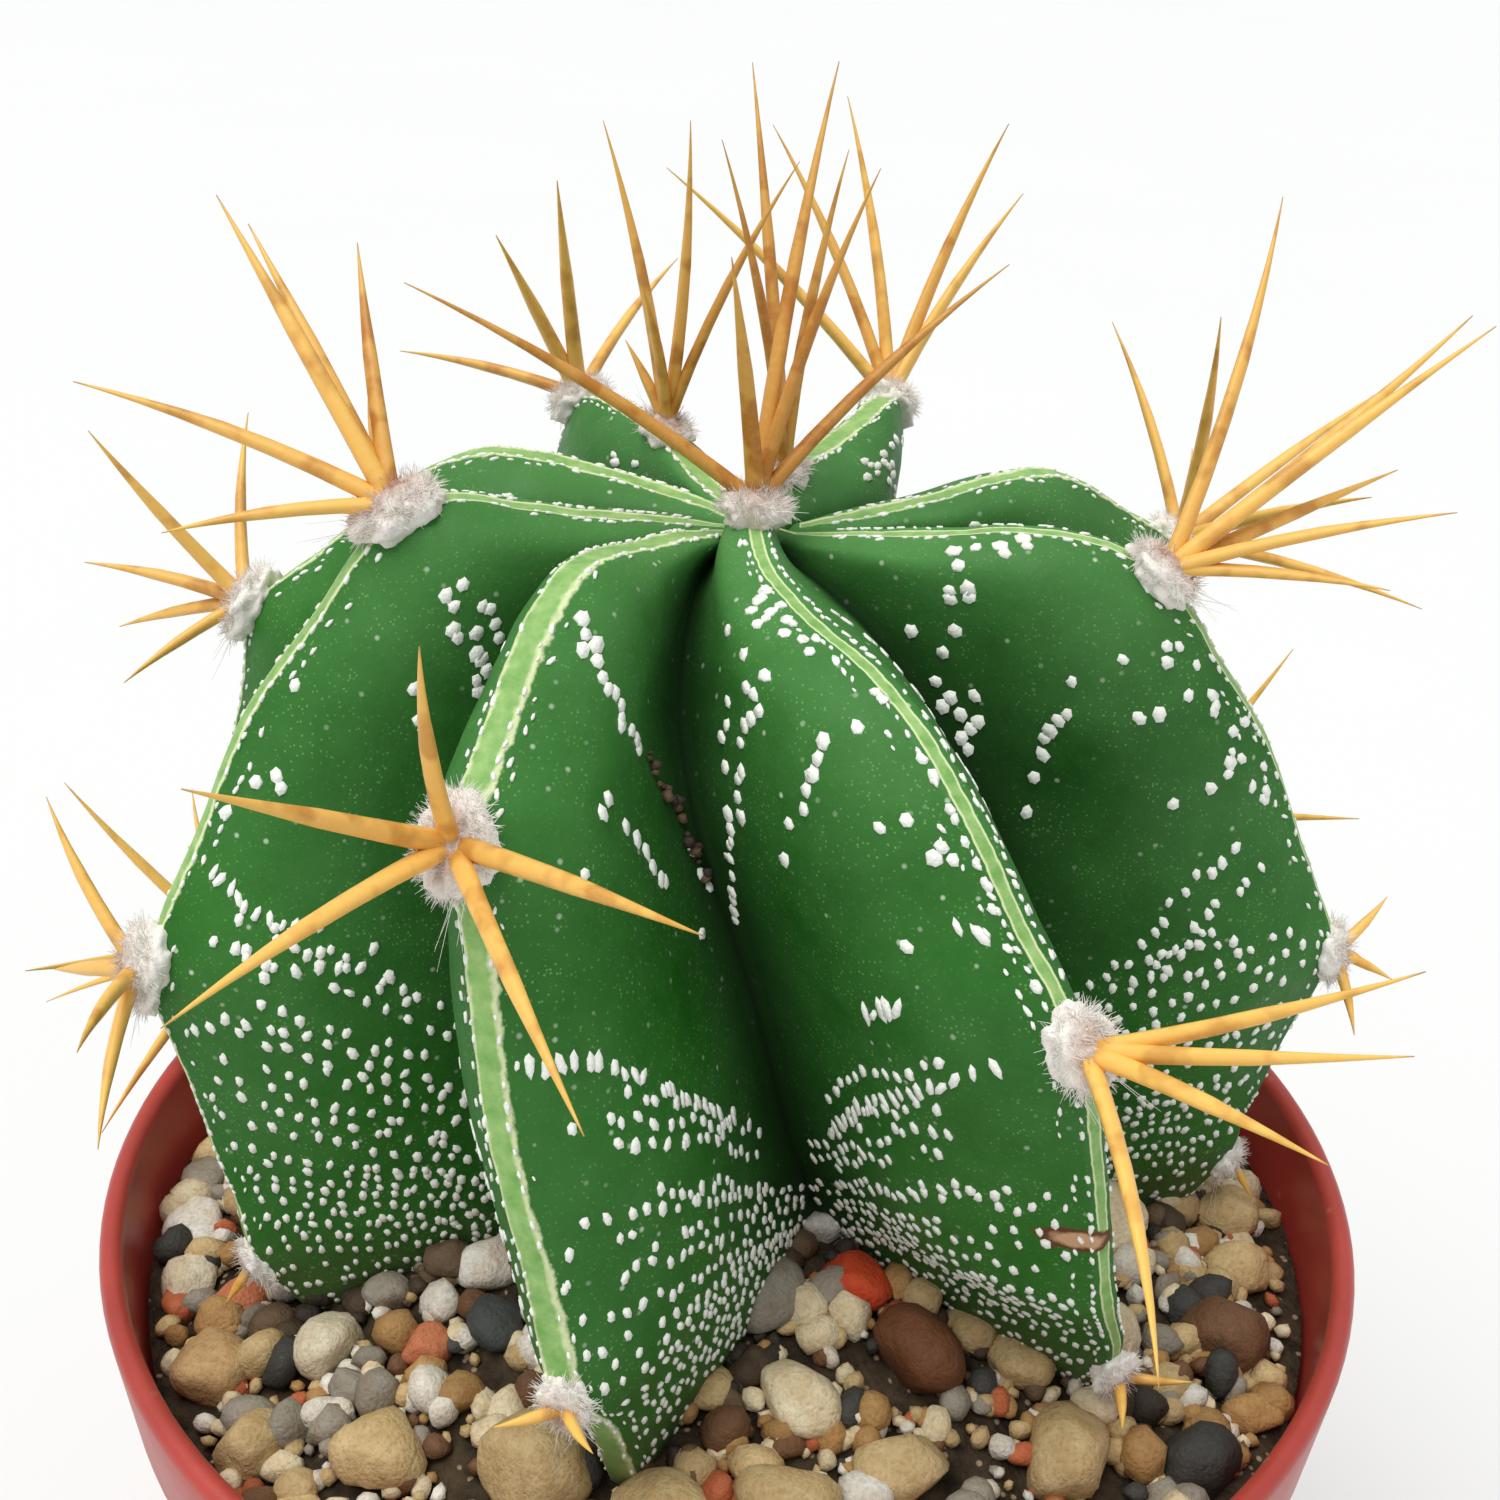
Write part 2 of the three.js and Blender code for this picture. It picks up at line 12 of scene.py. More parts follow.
import bmesh
import bpy
from bpy.props import FloatProperty, FloatVectorProperty, IntProperty, PointerProperty
from mathutils import Matrix, Vector, noise
from mathutils.bvhtree import BVHTree


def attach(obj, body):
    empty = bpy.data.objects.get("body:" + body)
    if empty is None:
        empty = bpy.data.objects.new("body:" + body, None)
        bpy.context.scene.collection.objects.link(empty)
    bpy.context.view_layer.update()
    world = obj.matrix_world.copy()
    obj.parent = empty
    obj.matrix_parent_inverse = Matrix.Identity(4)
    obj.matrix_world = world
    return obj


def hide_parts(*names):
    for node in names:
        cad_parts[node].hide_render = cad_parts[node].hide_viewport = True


bl_info = {
    "name": "Potted Monk's Hood Cactus",
    "version": (1, 0, 0),
    "blender": (4, 5, 0),
    "location": "View3D > Sidebar > Cactus",
    "description": "Builds a ribbed cactus with felt flecks, wool and spines in a pot of gravel",
    "category": "Object",
}

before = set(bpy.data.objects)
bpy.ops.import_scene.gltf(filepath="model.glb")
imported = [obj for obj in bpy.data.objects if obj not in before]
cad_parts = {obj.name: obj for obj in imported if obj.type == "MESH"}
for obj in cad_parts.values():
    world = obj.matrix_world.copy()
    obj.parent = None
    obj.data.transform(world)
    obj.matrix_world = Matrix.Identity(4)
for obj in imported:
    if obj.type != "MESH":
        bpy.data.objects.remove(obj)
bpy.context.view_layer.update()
MM = 0.001

# ---- The form that the solids share ----

POT_HEIGHT = 75.0
RIM_RADIUS = 42.5
RIM_WIDTH = 1.5
RIM_BAND = 9.0
RIM_STEP = 2.2
BASE_RADIUS = 30.0
WALL = 1.5
FLOOR = 2.2
GAP = 0.3
DRAIN_HOLES = 6
DRAIN_RADIUS = 3.2
DRAIN_CIRCLE = 19.0
DRAIN_TURN = 15.0
BAND_SET = 0.8          # how far the rim's band stands in from its lip
BAND_THICKER = 0.6      # how much thicker the band is than the lip
BAND_FOOT = POT_HEIGHT - RIM_BAND
STEP_FOOT = BAND_FOOT - 2.0   # heights between which the pot's inside widens into the band
STEP_TOP = BAND_FOOT + 1.0
SOIL_TOP = POT_HEIGHT - 10.0
GRAVEL_BED = POT_HEIGHT - 6.2
BAND_INSIDE = RIM_RADIUS - RIM_WIDTH - BAND_THICKER
GRAVEL_REACH = BAND_INSIDE - GAP
GRAVEL_MOUND = [(37.0, 0.2), (31.0, 2.0), (24.0, 4.6), (14.0, 7.4), (0.0, 7.4)]
PEBBLE_RADIUS = (3.1, 1.5)
PEBBLE_VARIES = (0.85, 1.15)
PEBBLE_BREADTH = (0.72, 0.96)
PEBBLE_HEIGHT = (0.6, 0.85)
PEBBLE_TILT = 0.45
PEBBLE_INSET = 1.12
PEBBLE_SEED = 7
PEBBLE_TRIES = 600
PEBBLE_SPACING = 1.04
PEBBLE_CLEAR = 0.35
PEBBLE_RISE = 0.25
PEBBLE_CORNERS = 20
# Stones set down before the scattered ones: x, y, radius and the tone each shows.
SET_STONES = [
    (8.2, -14.8, 2.5, "brick"), (12.0, -19.0, 3.0, "brown"), (-15.5, -13.2, 2.2, "white"),
    (-14.2, -17.6, 2.0, "slate"), (-18.4, -18.6, 1.6, "salmon"), (-24.8, -17.4, 2.3, "cream"),
    (-32.0, -17.8, 2.9, "tan"), (-31.8, -12.6, 1.9, "salmon"), (-36.0, -10.2, 2.3, "cream"),
    (-37.2, -4.7, 2.2, "white"),
]

STEM_CENTRE = Vector((0.6, 3.8, 0.0))
SOIL_LINE = POT_HEIGHT - 4.5
CREST = [
    (31.2, 0), (34.4, 8), (36, 14), (36.4, 25.5), (33, 36.5), (28.5, 44), (19.5, 51.2), (10, 50.6),
    (2.4, 49),
]
FURROW = [
    (13, 0), (15, 8), (16.4, 16), (17.2, 27), (16.6, 35), (13.5, 41), (9, 45.5), (5, 47.6),
    (1.6, 48),
]
FURROW_TURN = {"A": (8, -2, -11, -20, -22)}
CREST_WIDTH = 1.7
CREST_DROP = 0.25
CREST_SHARE = 0.2
RIDGE_SHARE = 0.1       # part of a half rib that the rounded ridge takes
FACE_SWELL = 2.6
SWELL_SHARE = 0.16
SWELL_RISE = 0.3
SWELL_SCALE = 27 / 4
SLUMP = {"B": 3.0}
SHOULDER = 0.77
SLUMP_SPREAD = 0.09
AREOLE_BUMP = 1.7
AREOLE_SPREAD = 0.055
FOOT_DEPTH = 5.2
FOOT_SHRINK = 0.84
FOOT_SPAN = 0.1         # how far t runs below 0 down the buried foot
PAD = (2.0, 2.7, 1.5)
SPINE_WIDTH = 1.25
SPINE_THICKNESS = 1.0
SPINE_BEND = 0.03
SPINE_ROOT = 0.35       # share of the pad's height where its spines start
SMALL_PAD_SPINE = 0.35  # width of the spines of a vanishing pad
TANGENT_STEP = 1e-4     # steps of t over which directions along a curve are taken
FRAME_STEP = 0.01

# Spines: clock angle on the pad, splay away from its outward direction, and length.
STAR = [(0, 58, 17), (62, 62, 16), (128, 60, 16), (-128, 60, 17), (-60, 62, 16), (175, 14, 18)]
LOW_FAN = [(-62, 50, 4), (74, 45, 4.5)]
LOW_STUB = [(-160, 35, 3.5)]
CROWN_FRONT = [(-104, 62, 23.5), (-167, 32, 16), (74, 44, 20.5), (107, 17, 20), (30, 12, 26)]
CROWN_BACK = [(156, 39, 25.5), (-160, 20, 19.5), (89, 9, 21)]
CROWN_LEFT = [(150, 39, 6), (59, 5, 20), (158, 24, 19), (80, 19, 11), (-59, 18, 19)]
FRONT_LEFT = [(32, 38, 14), (106, 71, 17.5), (137, 65, 19.5), (-155, 34, 18), (-79, 19, 15)]
FRONT_RIGHT = [(78, 38, 17), (90, 25, 16.5), (151, 12, 14.5), (-125, 41, 18.5)]
LEFT_SHOULDER = [
    (-81, 34, 20), (-80, 45, 19.5), (-55, 49, 16), (-68, 64, 10), (-144, 45, 18.5),
    (-177, 63, 12.5),
]
RIGHT_SHOULDER = [
    (-171, 48, 12), (63, 47, 23), (110, 34, 22.5), (118, 27, 22), (-179, 32, 15.5), (132, 45, 15),
]
BACK_SHOULDER = [(-60, 22, 17.5), (64, 25, 22), (75, 39, 21.5), (-41, 14, 21.5), (68, 65, 22.5)]
BACK_LEFT = [(34, 53, 14), (132, 55, 15), (12, 56, 17), (-100, 50, 16)]
FAR_LEFT = [(21, 29, 14.5), (-166, 21, 12), (-164, 47, 11.5), (135, 68, 9.5), (-53, 59, 14.5)]
LEFT_SIDE = [(-115, 72, 11.5), (89, 66, 11), (126, 74, 11.5), (-38, 67, 11.5)]
RIGHT_SIDE = [(-126, 24, 4), (140, 50, 4), (-134, 75, 5.5), (50, 50, 5)]

# Each rib: azimuths of its crest evenly spaced from soil to crown, its size, the fullness of its
# left and right faces, and its areoles as place along the crest, pad size and spines.
RIBS = {
    "A": (
        (-11, -14, -24, -33, -43), 1.0, (1.0, 1.0),
        {1: (0.575, 1.0, FRONT_LEFT), 2: (0.235, 0.7, LOW_FAN)},
    ),
    "B": (
        (46, 36.5, 26.5, 15.5, -12), 0.97, (1.0, 0.15),
        {0: (0.96, 1.0, CROWN_FRONT), 1: (0.45, 0.9, FRONT_RIGHT), 2: (0.08, 0.7, LOW_FAN)},
    ),
    "D": (
        (83, 82, 77, 66.5, 55), 1.0, (1.0, 1.0),
        {1: (0.7, 0.85, RIGHT_SHOULDER), 2: (0.355, 0.8, RIGHT_SIDE), 3: (0.085, 0.6, LOW_STUB)},
    ),
    "F": (
        (130, 125.5, 117, 104.5, 88), 1.0, (1.0, 1.0),
        {1: (0.62, 0.9, STAR), 2: (0.3, 0.9, STAR)},
    ),
    "H": (
        (179, 186, 178, 157, 168), 1.0, (0.3, 0.3),
        {0: (0.95, 0.75, CROWN_BACK), 1: (0.7, 1.0, BACK_SHOULDER), 2: (0.34, 0.9, STAR)},
    ),
    "G": (
        (-141, -147.5, -149, -146, -138), 1.0, (0.5, 0.5),
        {0: (0.86, 0.75, CROWN_LEFT), 1: (0.7, 1.0, BACK_LEFT), 2: (0.3, 0.9, STAR)},
    ),
    "E": (
        (-101, -100.5, -99.5, -103, -118), 1.03, (1.0, 1.0),
        {1: (0.54, 1.0, FAR_LEFT), 2: (0.22, 0.9, STAR)},
    ),
    "C": (
        (-58, -62.5, -66, -67.5, -68), 1.03, (1.0, 1.0),
        {1: (0.73, 1.0, LEFT_SHOULDER), 2: (0.38, 1.0, LEFT_SIDE), 3: (0.085, 0.6, LOW_STUB)},
    ),
}
RIB_NAMES = list(RIBS)


def lerp(a, b, share):
    return a + (b - a) * share


def clamp(value):
    return max(0.0, min(1.0, value))


def at_azimuth(radius, azimuth, z=0.0):
    angle = math.radians(azimuth)
    return Vector((radius * math.sin(angle), -radius * math.cos(angle), z))


def meridian_point(points, t):
    """Radius and height over the soil line on a Catmull-Rom curve through evenly spaced points."""
    last = len(points) - 1
    place = clamp(t) * last
    index = min(int(place), last - 1)
    w = place - index
    before, start, end, after = (
        Vector(points[i]) for i in (max(index - 1, 0), index, index + 1, min(index + 2, last))
    )
    leave = (end - before) / 2
    arrive = (after - start) / 2
    return (
        (2 * start - 2 * end + leave + arrive) * w**3
        + (3 * end - 3 * start - 2 * leave - arrive) * w**2
        + leave * w
        + start
    )


def meridian_tangent(points, t):
    ahead, behind = (meridian_point(points, t + step) for step in (TANGENT_STEP, -TANGENT_STEP))
    return (ahead - behind).normalized()


def turn_at(azimuths, t):
    return meridian_point([(azimuth, 0) for azimuth in azimuths], t).x


def rib_azimuth(rib, t):
    return turn_at(RIBS[rib][0], t)


def crest_point(rib, t):
    _, size, _, areoles = RIBS[rib]
    radius, z = meridian_point(CREST, t)
    tangent = meridian_tangent(CREST, t)
    bump = sum(
        AREOLE_BUMP * pad * math.exp(-(((t - place) / AREOLE_SPREAD) ** 2))
        for place, pad, _ in areoles.values()
    )
    slump = SLUMP.get(rib, 0.0) * math.exp(-(((t - SHOULDER) / SLUMP_SPREAD) ** 2))
    reach = radius * size + bump * tangent.y
    height = SOIL_LINE + z - slump - bump * tangent.x
    return STEM_CENTRE + at_azimuth(reach, rib_azimuth(rib, t), height)


def furrow_point(index, t):
    name = RIB_NAMES[index % len(RIBS)]
    left = rib_azimuth(name, t)
    right = rib_azimuth(RIB_NAMES[(index + 1) % len(RIBS)], t)
    if right < left:
        right += 360
    radius, z = meridian_point(FURROW, t)
    azimuth = (left + right) / 2 + turn_at(FURROW_TURN.get(name, (0, 0)), t)
    return STEM_CENTRE + at_azimuth(radius, azimuth, SOIL_LINE + z)


class RibLevel:
    """The crest and both furrows of a rib at one height, from which its section is drawn."""

    def __init__(self, rib, t):
        index = RIB_NAMES.index(rib)
        fullness = RIBS[rib][2]
        rise = min(1.0, t / SWELL_RISE)
        self.swell = {-1: fullness[0] * rise, 1: fullness[1] * rise}
        self.crest = crest_point(rib, t)
        outward = self.crest - STEM_CENTRE
        self.outward = Vector((outward.x, outward.y, 0)).normalized()
        self.across = Vector((-self.outward.y, self.outward.x, 0))
        self.furrows = {-1: furrow_point(index - 1, t), 1: furrow_point(index, t)}

    def point(self, across):
        """A point at across, from -1 in the left furrow past 0 on the crest to 1 on the right."""
        side = -1 if across < 0 else 1
        furrow = self.furrows[side]
        run = (furrow - self.crest).length
        width = min(CREST_WIDTH / 2, run * CREST_SHARE)
        sideways = self.across * side
        if abs(across) < RIDGE_SHARE:
            turn = abs(across) / RIDGE_SHARE * math.pi / 2
            drop = CREST_DROP * (1 - math.cos(turn))
            return self.crest + sideways * width * math.sin(turn) - self.outward * drop
        share = (abs(across) - RIDGE_SHARE) / (1 - RIDGE_SHARE)
        edge = self.crest + sideways * width - self.outward * CREST_DROP
        swell = SWELL_SCALE * min(FACE_SWELL, run * SWELL_SHARE) * self.swell[side]
        return edge.lerp(furrow, share) + sideways * swell * share * (1 - share) ** 2


def sunk(point, t):
    """Leads a point of the soil line down and in to the foot as t goes below 0."""
    foot = STEM_CENTRE.lerp(point, FOOT_SHRINK)
    foot.z = SOIL_LINE - FOOT_DEPTH
    return point.lerp(foot, clamp(-t / FOOT_SPAN))


def skin_point(rib, across, t):
    return sunk(RibLevel(rib, max(t, 0.0)).point(across), t)


def crest_frame(rib, t):
    """Axes at a place on a crest: origin, right, up the rib, and outward."""
    tangent = meridian_tangent(CREST, t)
    outward = at_azimuth(tangent.y, rib_azimuth(rib, t), -tangent.x)
    ahead, behind = min(1.0, t + FRAME_STEP), t - FRAME_STEP
    along = (crest_point(rib, ahead) - crest_point(rib, behind)).normalized()
    right = -outward.cross(along).normalized()
    rise = outward.cross(right).normalized()
    return crest_point(rib, t), right, rise, outward


def wall_radius(z):
    return lerp(BASE_RADIUS, RIM_RADIUS - RIM_STEP, z / BAND_FOOT)


def bed_height(radius):
    for (outer, low), (inner, high) in zip(GRAVEL_MOUND, GRAVEL_MOUND[1:]):
        if inner <= radius < outer:
            return GRAVEL_BED + lerp(high, low, (radius - inner) / (outer - inner))
    return GRAVEL_BED


def foot_reach(x, y):
    """How far a place lies outside the stem's star-shaped foot, in millimetres."""
    azimuth = math.degrees(math.atan2(x - STEM_CENTRE.x, STEM_CENTRE.y - y))
    away = min(abs((azimuth - rib_azimuth(rib, 0) + 180) % 360 - 180) for rib in RIBS)
    foot = lerp(CREST[0][0], FURROW[0][0], min(1.0, away / (180 / len(RIBS))))
    return math.hypot(x - STEM_CENTRE.x, y - STEM_CENTRE.y) - foot


# ---- Settings ----


def colour_property(name, description, default):
    return FloatVectorProperty(
        name=name, description=description, default=default, subtype="COLOR", size=3, min=0, max=1
    )


class CactusStemSettings(bpy.types.PropertyGroup):
    """Colours and felt of the stem."""

    skin: colour_property("Skin", "Deep green of a rib's faces", (0.006, 0.066, 0.004))
    # Painted light: this lighter green lightens the skin towards the crown and the crests in place
    # of top light and sheen.
    shoulder: colour_property("Shoulder", "Lighter green of lit shoulders", (0.082, 0.25, 0.066))
    ridge: colour_property("Ridge", "Pale yellow-green of the crests", (0.36, 0.55, 0.2))
    felt: colour_property("Felt", "White of the flecks", (0.95, 0.96, 0.9))
    fleck: FloatProperty(
        name="Fleck", description="Length of a face fleck", default=0.86 * MM, unit="LENGTH"
    )
    seed: IntProperty(name="Seed", description="Changes where the flecks fall", default=21)


class CactusAreoleSettings(bpy.types.PropertyGroup):
    """Colours and fineness of the wool and the spines."""

    wool: colour_property("Wool", "Cream of the wool", (0.96, 0.93, 0.88))
    heart: colour_property("Heart", "Pinkish tan between the spines", (0.4, 0.22, 0.15))
    young: colour_property("Young spine", "Yellow-orange of a pale spine", (0.92, 0.53, 0.115))
    old: colour_property("Old spine", "Brown-orange of a dark spine", (0.47, 0.175, 0.014))
    hairs: IntProperty(name="Hairs", description="Hairs on a full-size pad", default=1300, min=20)
    strays: IntProperty(name="Strays", description="Long loose hairs under a pad", default=5, min=0)
    hair: FloatProperty(
        name="Hair", description="Longest hair of a pad", default=1.15 * MM, unit="LENGTH"
    )


class CactusPotSettings(bpy.types.PropertyGroup):
    """Colours of the pot and the floor, and how much grit fills it."""

    plastic: colour_property("Plastic", "Red-brown of the pot", (0.42, 0.047, 0.034))
    grit: IntProperty(name="Grit", description="Small stones between pebbles", default=3000, min=0)
    backdrop: colour_property("Backdrop", "Pale floor", (0.775, 0.775, 0.77))


# ---- Building blocks ----


def add_object(name, data):
    made = bpy.data.objects.new(name, data)
    bpy.context.scene.collection.objects.link(made)
    return made


def settled(name, bm):
    """The finished mesh of a bmesh, which it frees."""
    mesh = bpy.data.meshes.new(name)
    bm.to_mesh(mesh)
    bm.free()
    return mesh


def add_piece(name, bm, material, nodes=()):
    """Turns a bmesh in millimetres into a piece in metres that rides on the part."""
    bmesh.ops.scale(bm, vec=Vector((MM, MM, MM)), verts=bm.verts)
    mesh = settled(name, bm)
    mesh.polygons.foreach_set("use_smooth", [True] * len(mesh.polygons))
    mesh.materials.append(material)
    piece = add_object(name, mesh)
    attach(piece, "root")
    if nodes:
        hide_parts(*nodes)
    return piece


def spun(outline, segments):
    """A closed body turned about Z from an outline of radii and heights."""
    bm = bmesh.new()
    verts = [bm.verts.new((radius, 0.0, z)) for radius, z in outline]
    edges = [bm.edges.new(pair) for pair in zip(verts, verts[1:])]
    bmesh.ops.spin(
        bm, geom=verts + edges, cent=(0, 0, 0), axis=(0, 0, 1), angle=2 * math.pi, steps=segments,
        use_merge=True,
    )
    bmesh.ops.remove_doubles(bm, verts=bm.verts, dist=1e-4)
    bmesh.ops.recalc_face_normals(bm, faces=bm.faces)
    return bm


class Heap:
    """Gathers many small shapes in batches, because bmesh operators slow down as a mesh grows."""

    BATCH = 60

    def __init__(self, layer, kind="float"):
        self.layer, self.kind = layer, kind
        self.whole, self.batch, self.held = self.empty(), self.empty(), 0

    def empty(self):
        bm = bmesh.new()
        getattr(bm.verts.layers, self.kind).new(self.layer)
        return bm

    def place(self):
        """The bmesh for the next shape, and its layer."""
        if self.held == self.BATCH:
            self.merge()
        self.held += 1
        return self.batch, getattr(self.batch.verts.layers, self.kind)[self.layer]

    def merge(self):
        mesh = settled("batch", self.batch)
        self.whole.from_mesh(mesh)
        bpy.data.meshes.remove(mesh)
        self.batch, self.held = self.empty(), 0

    def gathered(self):
        self.merge()
        return self.whole


def basis(origin, right, rise, outward):
    return Matrix.Translation(origin) @ Matrix((right, rise, outward)).transposed().to_4x4()


def seeded_random(seed):
    """The same stream of numbers as the solids' gravel, so that the stones lie alike."""
    mask = 0xFFFFFFFF
    state = seed
    while True:
        state = (state + 0x6D2B79F5) & mask
        mixed = (state ^ (state >> 15)) * (1 | state) & mask
        mixed = (mixed + ((mixed ^ (mixed >> 7)) * (61 | mixed) & mask) & mask) ^ mixed
        yield ((mixed ^ (mixed >> 14)) & mask) / 2**32


# ---- Materials ----


class Graph:
    """Adds nodes to a tree. An input is a number, a colour or another node's output."""

    def __init__(self, tree):
        self.tree = tree

    def node(self, kind, inputs=(), **settings):
        node = self.tree.nodes.new("ShaderNode" + kind)
        for key, value in settings.items():
            setattr(node, key, value)
        for key, value in dict(inputs).items():
            if isinstance(value, bpy.types.NodeSocket):
                self.tree.links.new(value, node.inputs[key])
            else:
                node.inputs[key].default_value = value
        return node

    def place(self):
        return self.node("TexCoord").outputs["Object"]

    def attribute(self, name):
        return self.node("Attribute", attribute_name=name).outputs["Fac"]

    def mix(self, share, a, b, blend="MIX"):
        """Colour a where share is 0 and b, or b blended with a, where it is 1."""
        inputs = {0: share, 6: full(a), 7: full(b)}
        return self.node("Mix", inputs, data_type="RGBA", blend_type=blend).outputs[2]

    def ramp(self, value, low, high, start=0.0, end=1.0):
        inputs = {"Value": value, 1: low, 2: high, 3: start, 4: end}
        return self.node("MapRange", inputs).outputs[0]

    def math(self, operation, a, b):
        return self.node("Math", {0: a, 1: b}, operation=operation).outputs[0]

    def plus(self, a, b):
        return self.math("ADD", a, b)

    def times(self, a, b):
        return self.math("MULTIPLY", a, b)

    def vector(self, operation, *terms):
        return self.node("VectorMath", dict(enumerate(terms)), operation=operation)

    def limited(self, value):
        return self.node("Clamp", {"Value": value}).outputs[0]

    def noise(self, scale, detail=3.0, rough=0.55):
        inputs = {"Vector": self.place(), "Scale": scale, "Detail": detail, "Roughness": rough}
        return self.node("TexNoise", inputs).outputs["Fac"]

    def effect(self, name, **inputs):
        """What the shared effect puts out for these inputs."""
        tree = bpy.data.node_groups.get(name) or EFFECTS[name]()
        return self.node("Group", inputs, node_tree=tree).outputs[0]


def full(colour):
    return colour if isinstance(colour, bpy.types.NodeSocket) else (*colour, 1.0)[:4]


def new_effect(name, output, fill, **inputs):
    """A new shader node group with named sockets, filled by fill from its graph and inputs."""
    tree = bpy.data.node_groups.new(name, "ShaderNodeTree")
    for socket, value in inputs.items():
        item = tree.interface.new_socket(socket, in_out="INPUT", socket_type="NodeSocketFloat")
        item.default_value = value
    tree.interface.new_socket(output, in_out="OUTPUT", socket_type="NodeSocketFloat")
    made = fill(Graph(tree), tree.nodes.new("NodeGroupInput").outputs)
    tree.links.new(made, tree.nodes.new("NodeGroupOutput").inputs[output])
    return tree


def mottle(graph, given):
    """Soft patches from 0 to 1, of about the given number per metre."""
    patches = graph.noise(given["Scale"], 4.0, 0.6)
    low = graph.math("SUBTRACT", 0.5, given["Soft"])
    return graph.ramp(patches, low, graph.plus(0.5, given["Soft"]))


def speckle(graph, given):
    """Scattered round dots: 1 on a dot, and Share is how many of the places have one."""
    cells = graph.node("TexVoronoi", {"Vector": graph.place(), "Scale": given["Scale"]})
    edge = graph.plus(given["Size"], DOT_EDGE)
    dot = graph.ramp(cells.outputs["Distance"], given["Size"], edge, 1.0, 0.0)
    pick = graph.node("SeparateColor", {"Color": cells.outputs["Color"]}).outputs["Red"]
    return graph.times(dot, graph.math("LESS_THAN", pick, given["Share"]))


def soil_dust(graph, given):
    """Dirt that fades out from the soil line up, over the given height."""
    height = graph.node("SeparateXYZ", {"Vector": graph.place()}).outputs["Z"]
    over = graph.math("SUBTRACT", height, (SOIL_LINE + 1) * MM)
    fade = graph.math("SUBTRACT", 1.0, graph.math("DIVIDE", over, given["Height"]))
    broken = graph.times(graph.noise(900.0), 1.3)
    return graph.times(graph.limited(graph.times(fade, broken)), given["Amount"])


DOT_EDGE = 0.12
EFFECTS = {
    "mottle": lambda: new_effect("mottle", "Value", mottle, Scale=200.0, Soft=0.14),
    "speckle": lambda: new_effect("speckle", "Mask", speckle, Scale=1000.0, Size=0.25, Share=0.5),
    "soil_dust": lambda: new_effect("soil_dust", "Mask", soil_dust, Height=0.008, Amount=0.8),
}


class Finish:
    """A new material: its graph, its shader, and how its looks are plugged in."""

    def __init__(self, name, roughness, specular):
        self.material = bpy.data.materials.new(name)
        self.material.use_nodes = True
        self.graph = Graph(self.material.node_tree)
        self.shader = self.material.node_tree.nodes["Principled BSDF"]
        self.shader.inputs["Roughness"].default_value = roughness
        self.shader.inputs["Specular IOR Level"].default_value = specular

    def plug(self, socket, value):
        self.graph.tree.links.new(value, self.shader.inputs[socket])

    def bump(self, height, distance, strength=1.0):
        inputs = {"Height": height, "Distance": distance, "Strength": strength}
        self.plug("Normal", self.graph.node("Bump", inputs).outputs[0])


FRESH_GREEN = (0.011, 0.125, 0.005)
MOTTLE_GREEN = (0.06, 0.25, 0.04)
PORE_GREEN = (0.16, 0.4, 0.1)
DOT_WHITE = (0.6, 0.7, 0.53)
# Painted shade: the near-black green laid into the furrows.
FURROW_PAINTED_SHADE = (0.003, 0.016, 0.002)
BAND_GREEN = (0.17, 0.38, 0.09)
BAND_EDGE = (0.68, 0.75, 0.43)
CORK_RIM, CORK = (0.13, 0.05, 0.02), (0.6, 0.36, 0.2)
SKIN_DUST = (0.13, 0.09, 0.05)
SCAR = ("B", -0.12, 0.31)              # rib, across and t of the cork scar
SCAR_SHRINK = (420.0, 420.0, 1050.0)   # half of the scar's size is one over these, in metres


def skin_green(graph, look, fine):
    """Green of the faces: patches, painted light and sheen on the shoulders and crests, pores and
    pale dots.
    """
    patches = graph.effect("mottle", Scale=130.0, Soft=0.2)
    # Painted light and sheen: the skin is lightened towards the crown and the crests, mottled by
    # the patches.
    light = graph.plus(graph.times(patches, 0.35), graph.attribute("shoulder"))
    broad = graph.effect("mottle", Scale=38.0, Soft=0.14)
    green = graph.mix(broad, look.skin, FRESH_GREEN)
    green = graph.mix(graph.limited(light), green, look.shoulder)
    green = graph.mix(graph.times(fine, 0.1), green, MOTTLE_GREEN)
    pores = graph.effect("speckle", Scale=3300.0, Size=0.16, Share=0.72)
    pores = graph.times(pores, graph.ramp(graph.noise(260.0), 0.4, 0.64, 0.12, 0.75))
    green = graph.mix(pores, green, PORE_GREEN)
    dots = graph.effect("speckle", Scale=1100.0, Size=0.1, Share=0.22)
    dots = graph.times(dots, graph.ramp(graph.noise(190.0), 0.45, 0.62, 0.25, 0.8))
    return graph.mix(dots, green, DOT_WHITE), pores


def crest_band(graph, look, fine, green):
    """Lays the pale, yellow-edged band of the crests over the green."""
    away = graph.plus(graph.attribute("ridge"), graph.ramp(fine, 0.0, 1.0, -0.14, 0.14))
    pale = graph.mix(fine, BAND_GREEN, look.ridge)
    pale = graph.mix(graph.ramp(away, 0.6, 0.85), pale, BAND_EDGE)
    return graph.mix(graph.ramp(away, 1.1, 0.95), green, pale)


def cork_scar(graph, green):
    centre = skin_point(*SCAR) * MM
    gap = graph.vector("SUBTRACT", graph.place(), centre).outputs[0]
    far = graph.vector("LENGTH", graph.vector("MULTIPLY", gap, SCAR_SHRINK).outputs[0])
    ragged = graph.ramp(graph.noise(1300.0), 0.2, 0.8, -0.2, 0.2)
    far = graph.plus(far.outputs["Value"], ragged)
    cork = graph.mix(graph.ramp(far, 0.75, 0.5), CORK_RIM, CORK)
    return graph.mix(graph.ramp(far, 1.02, 0.9), green, cork)


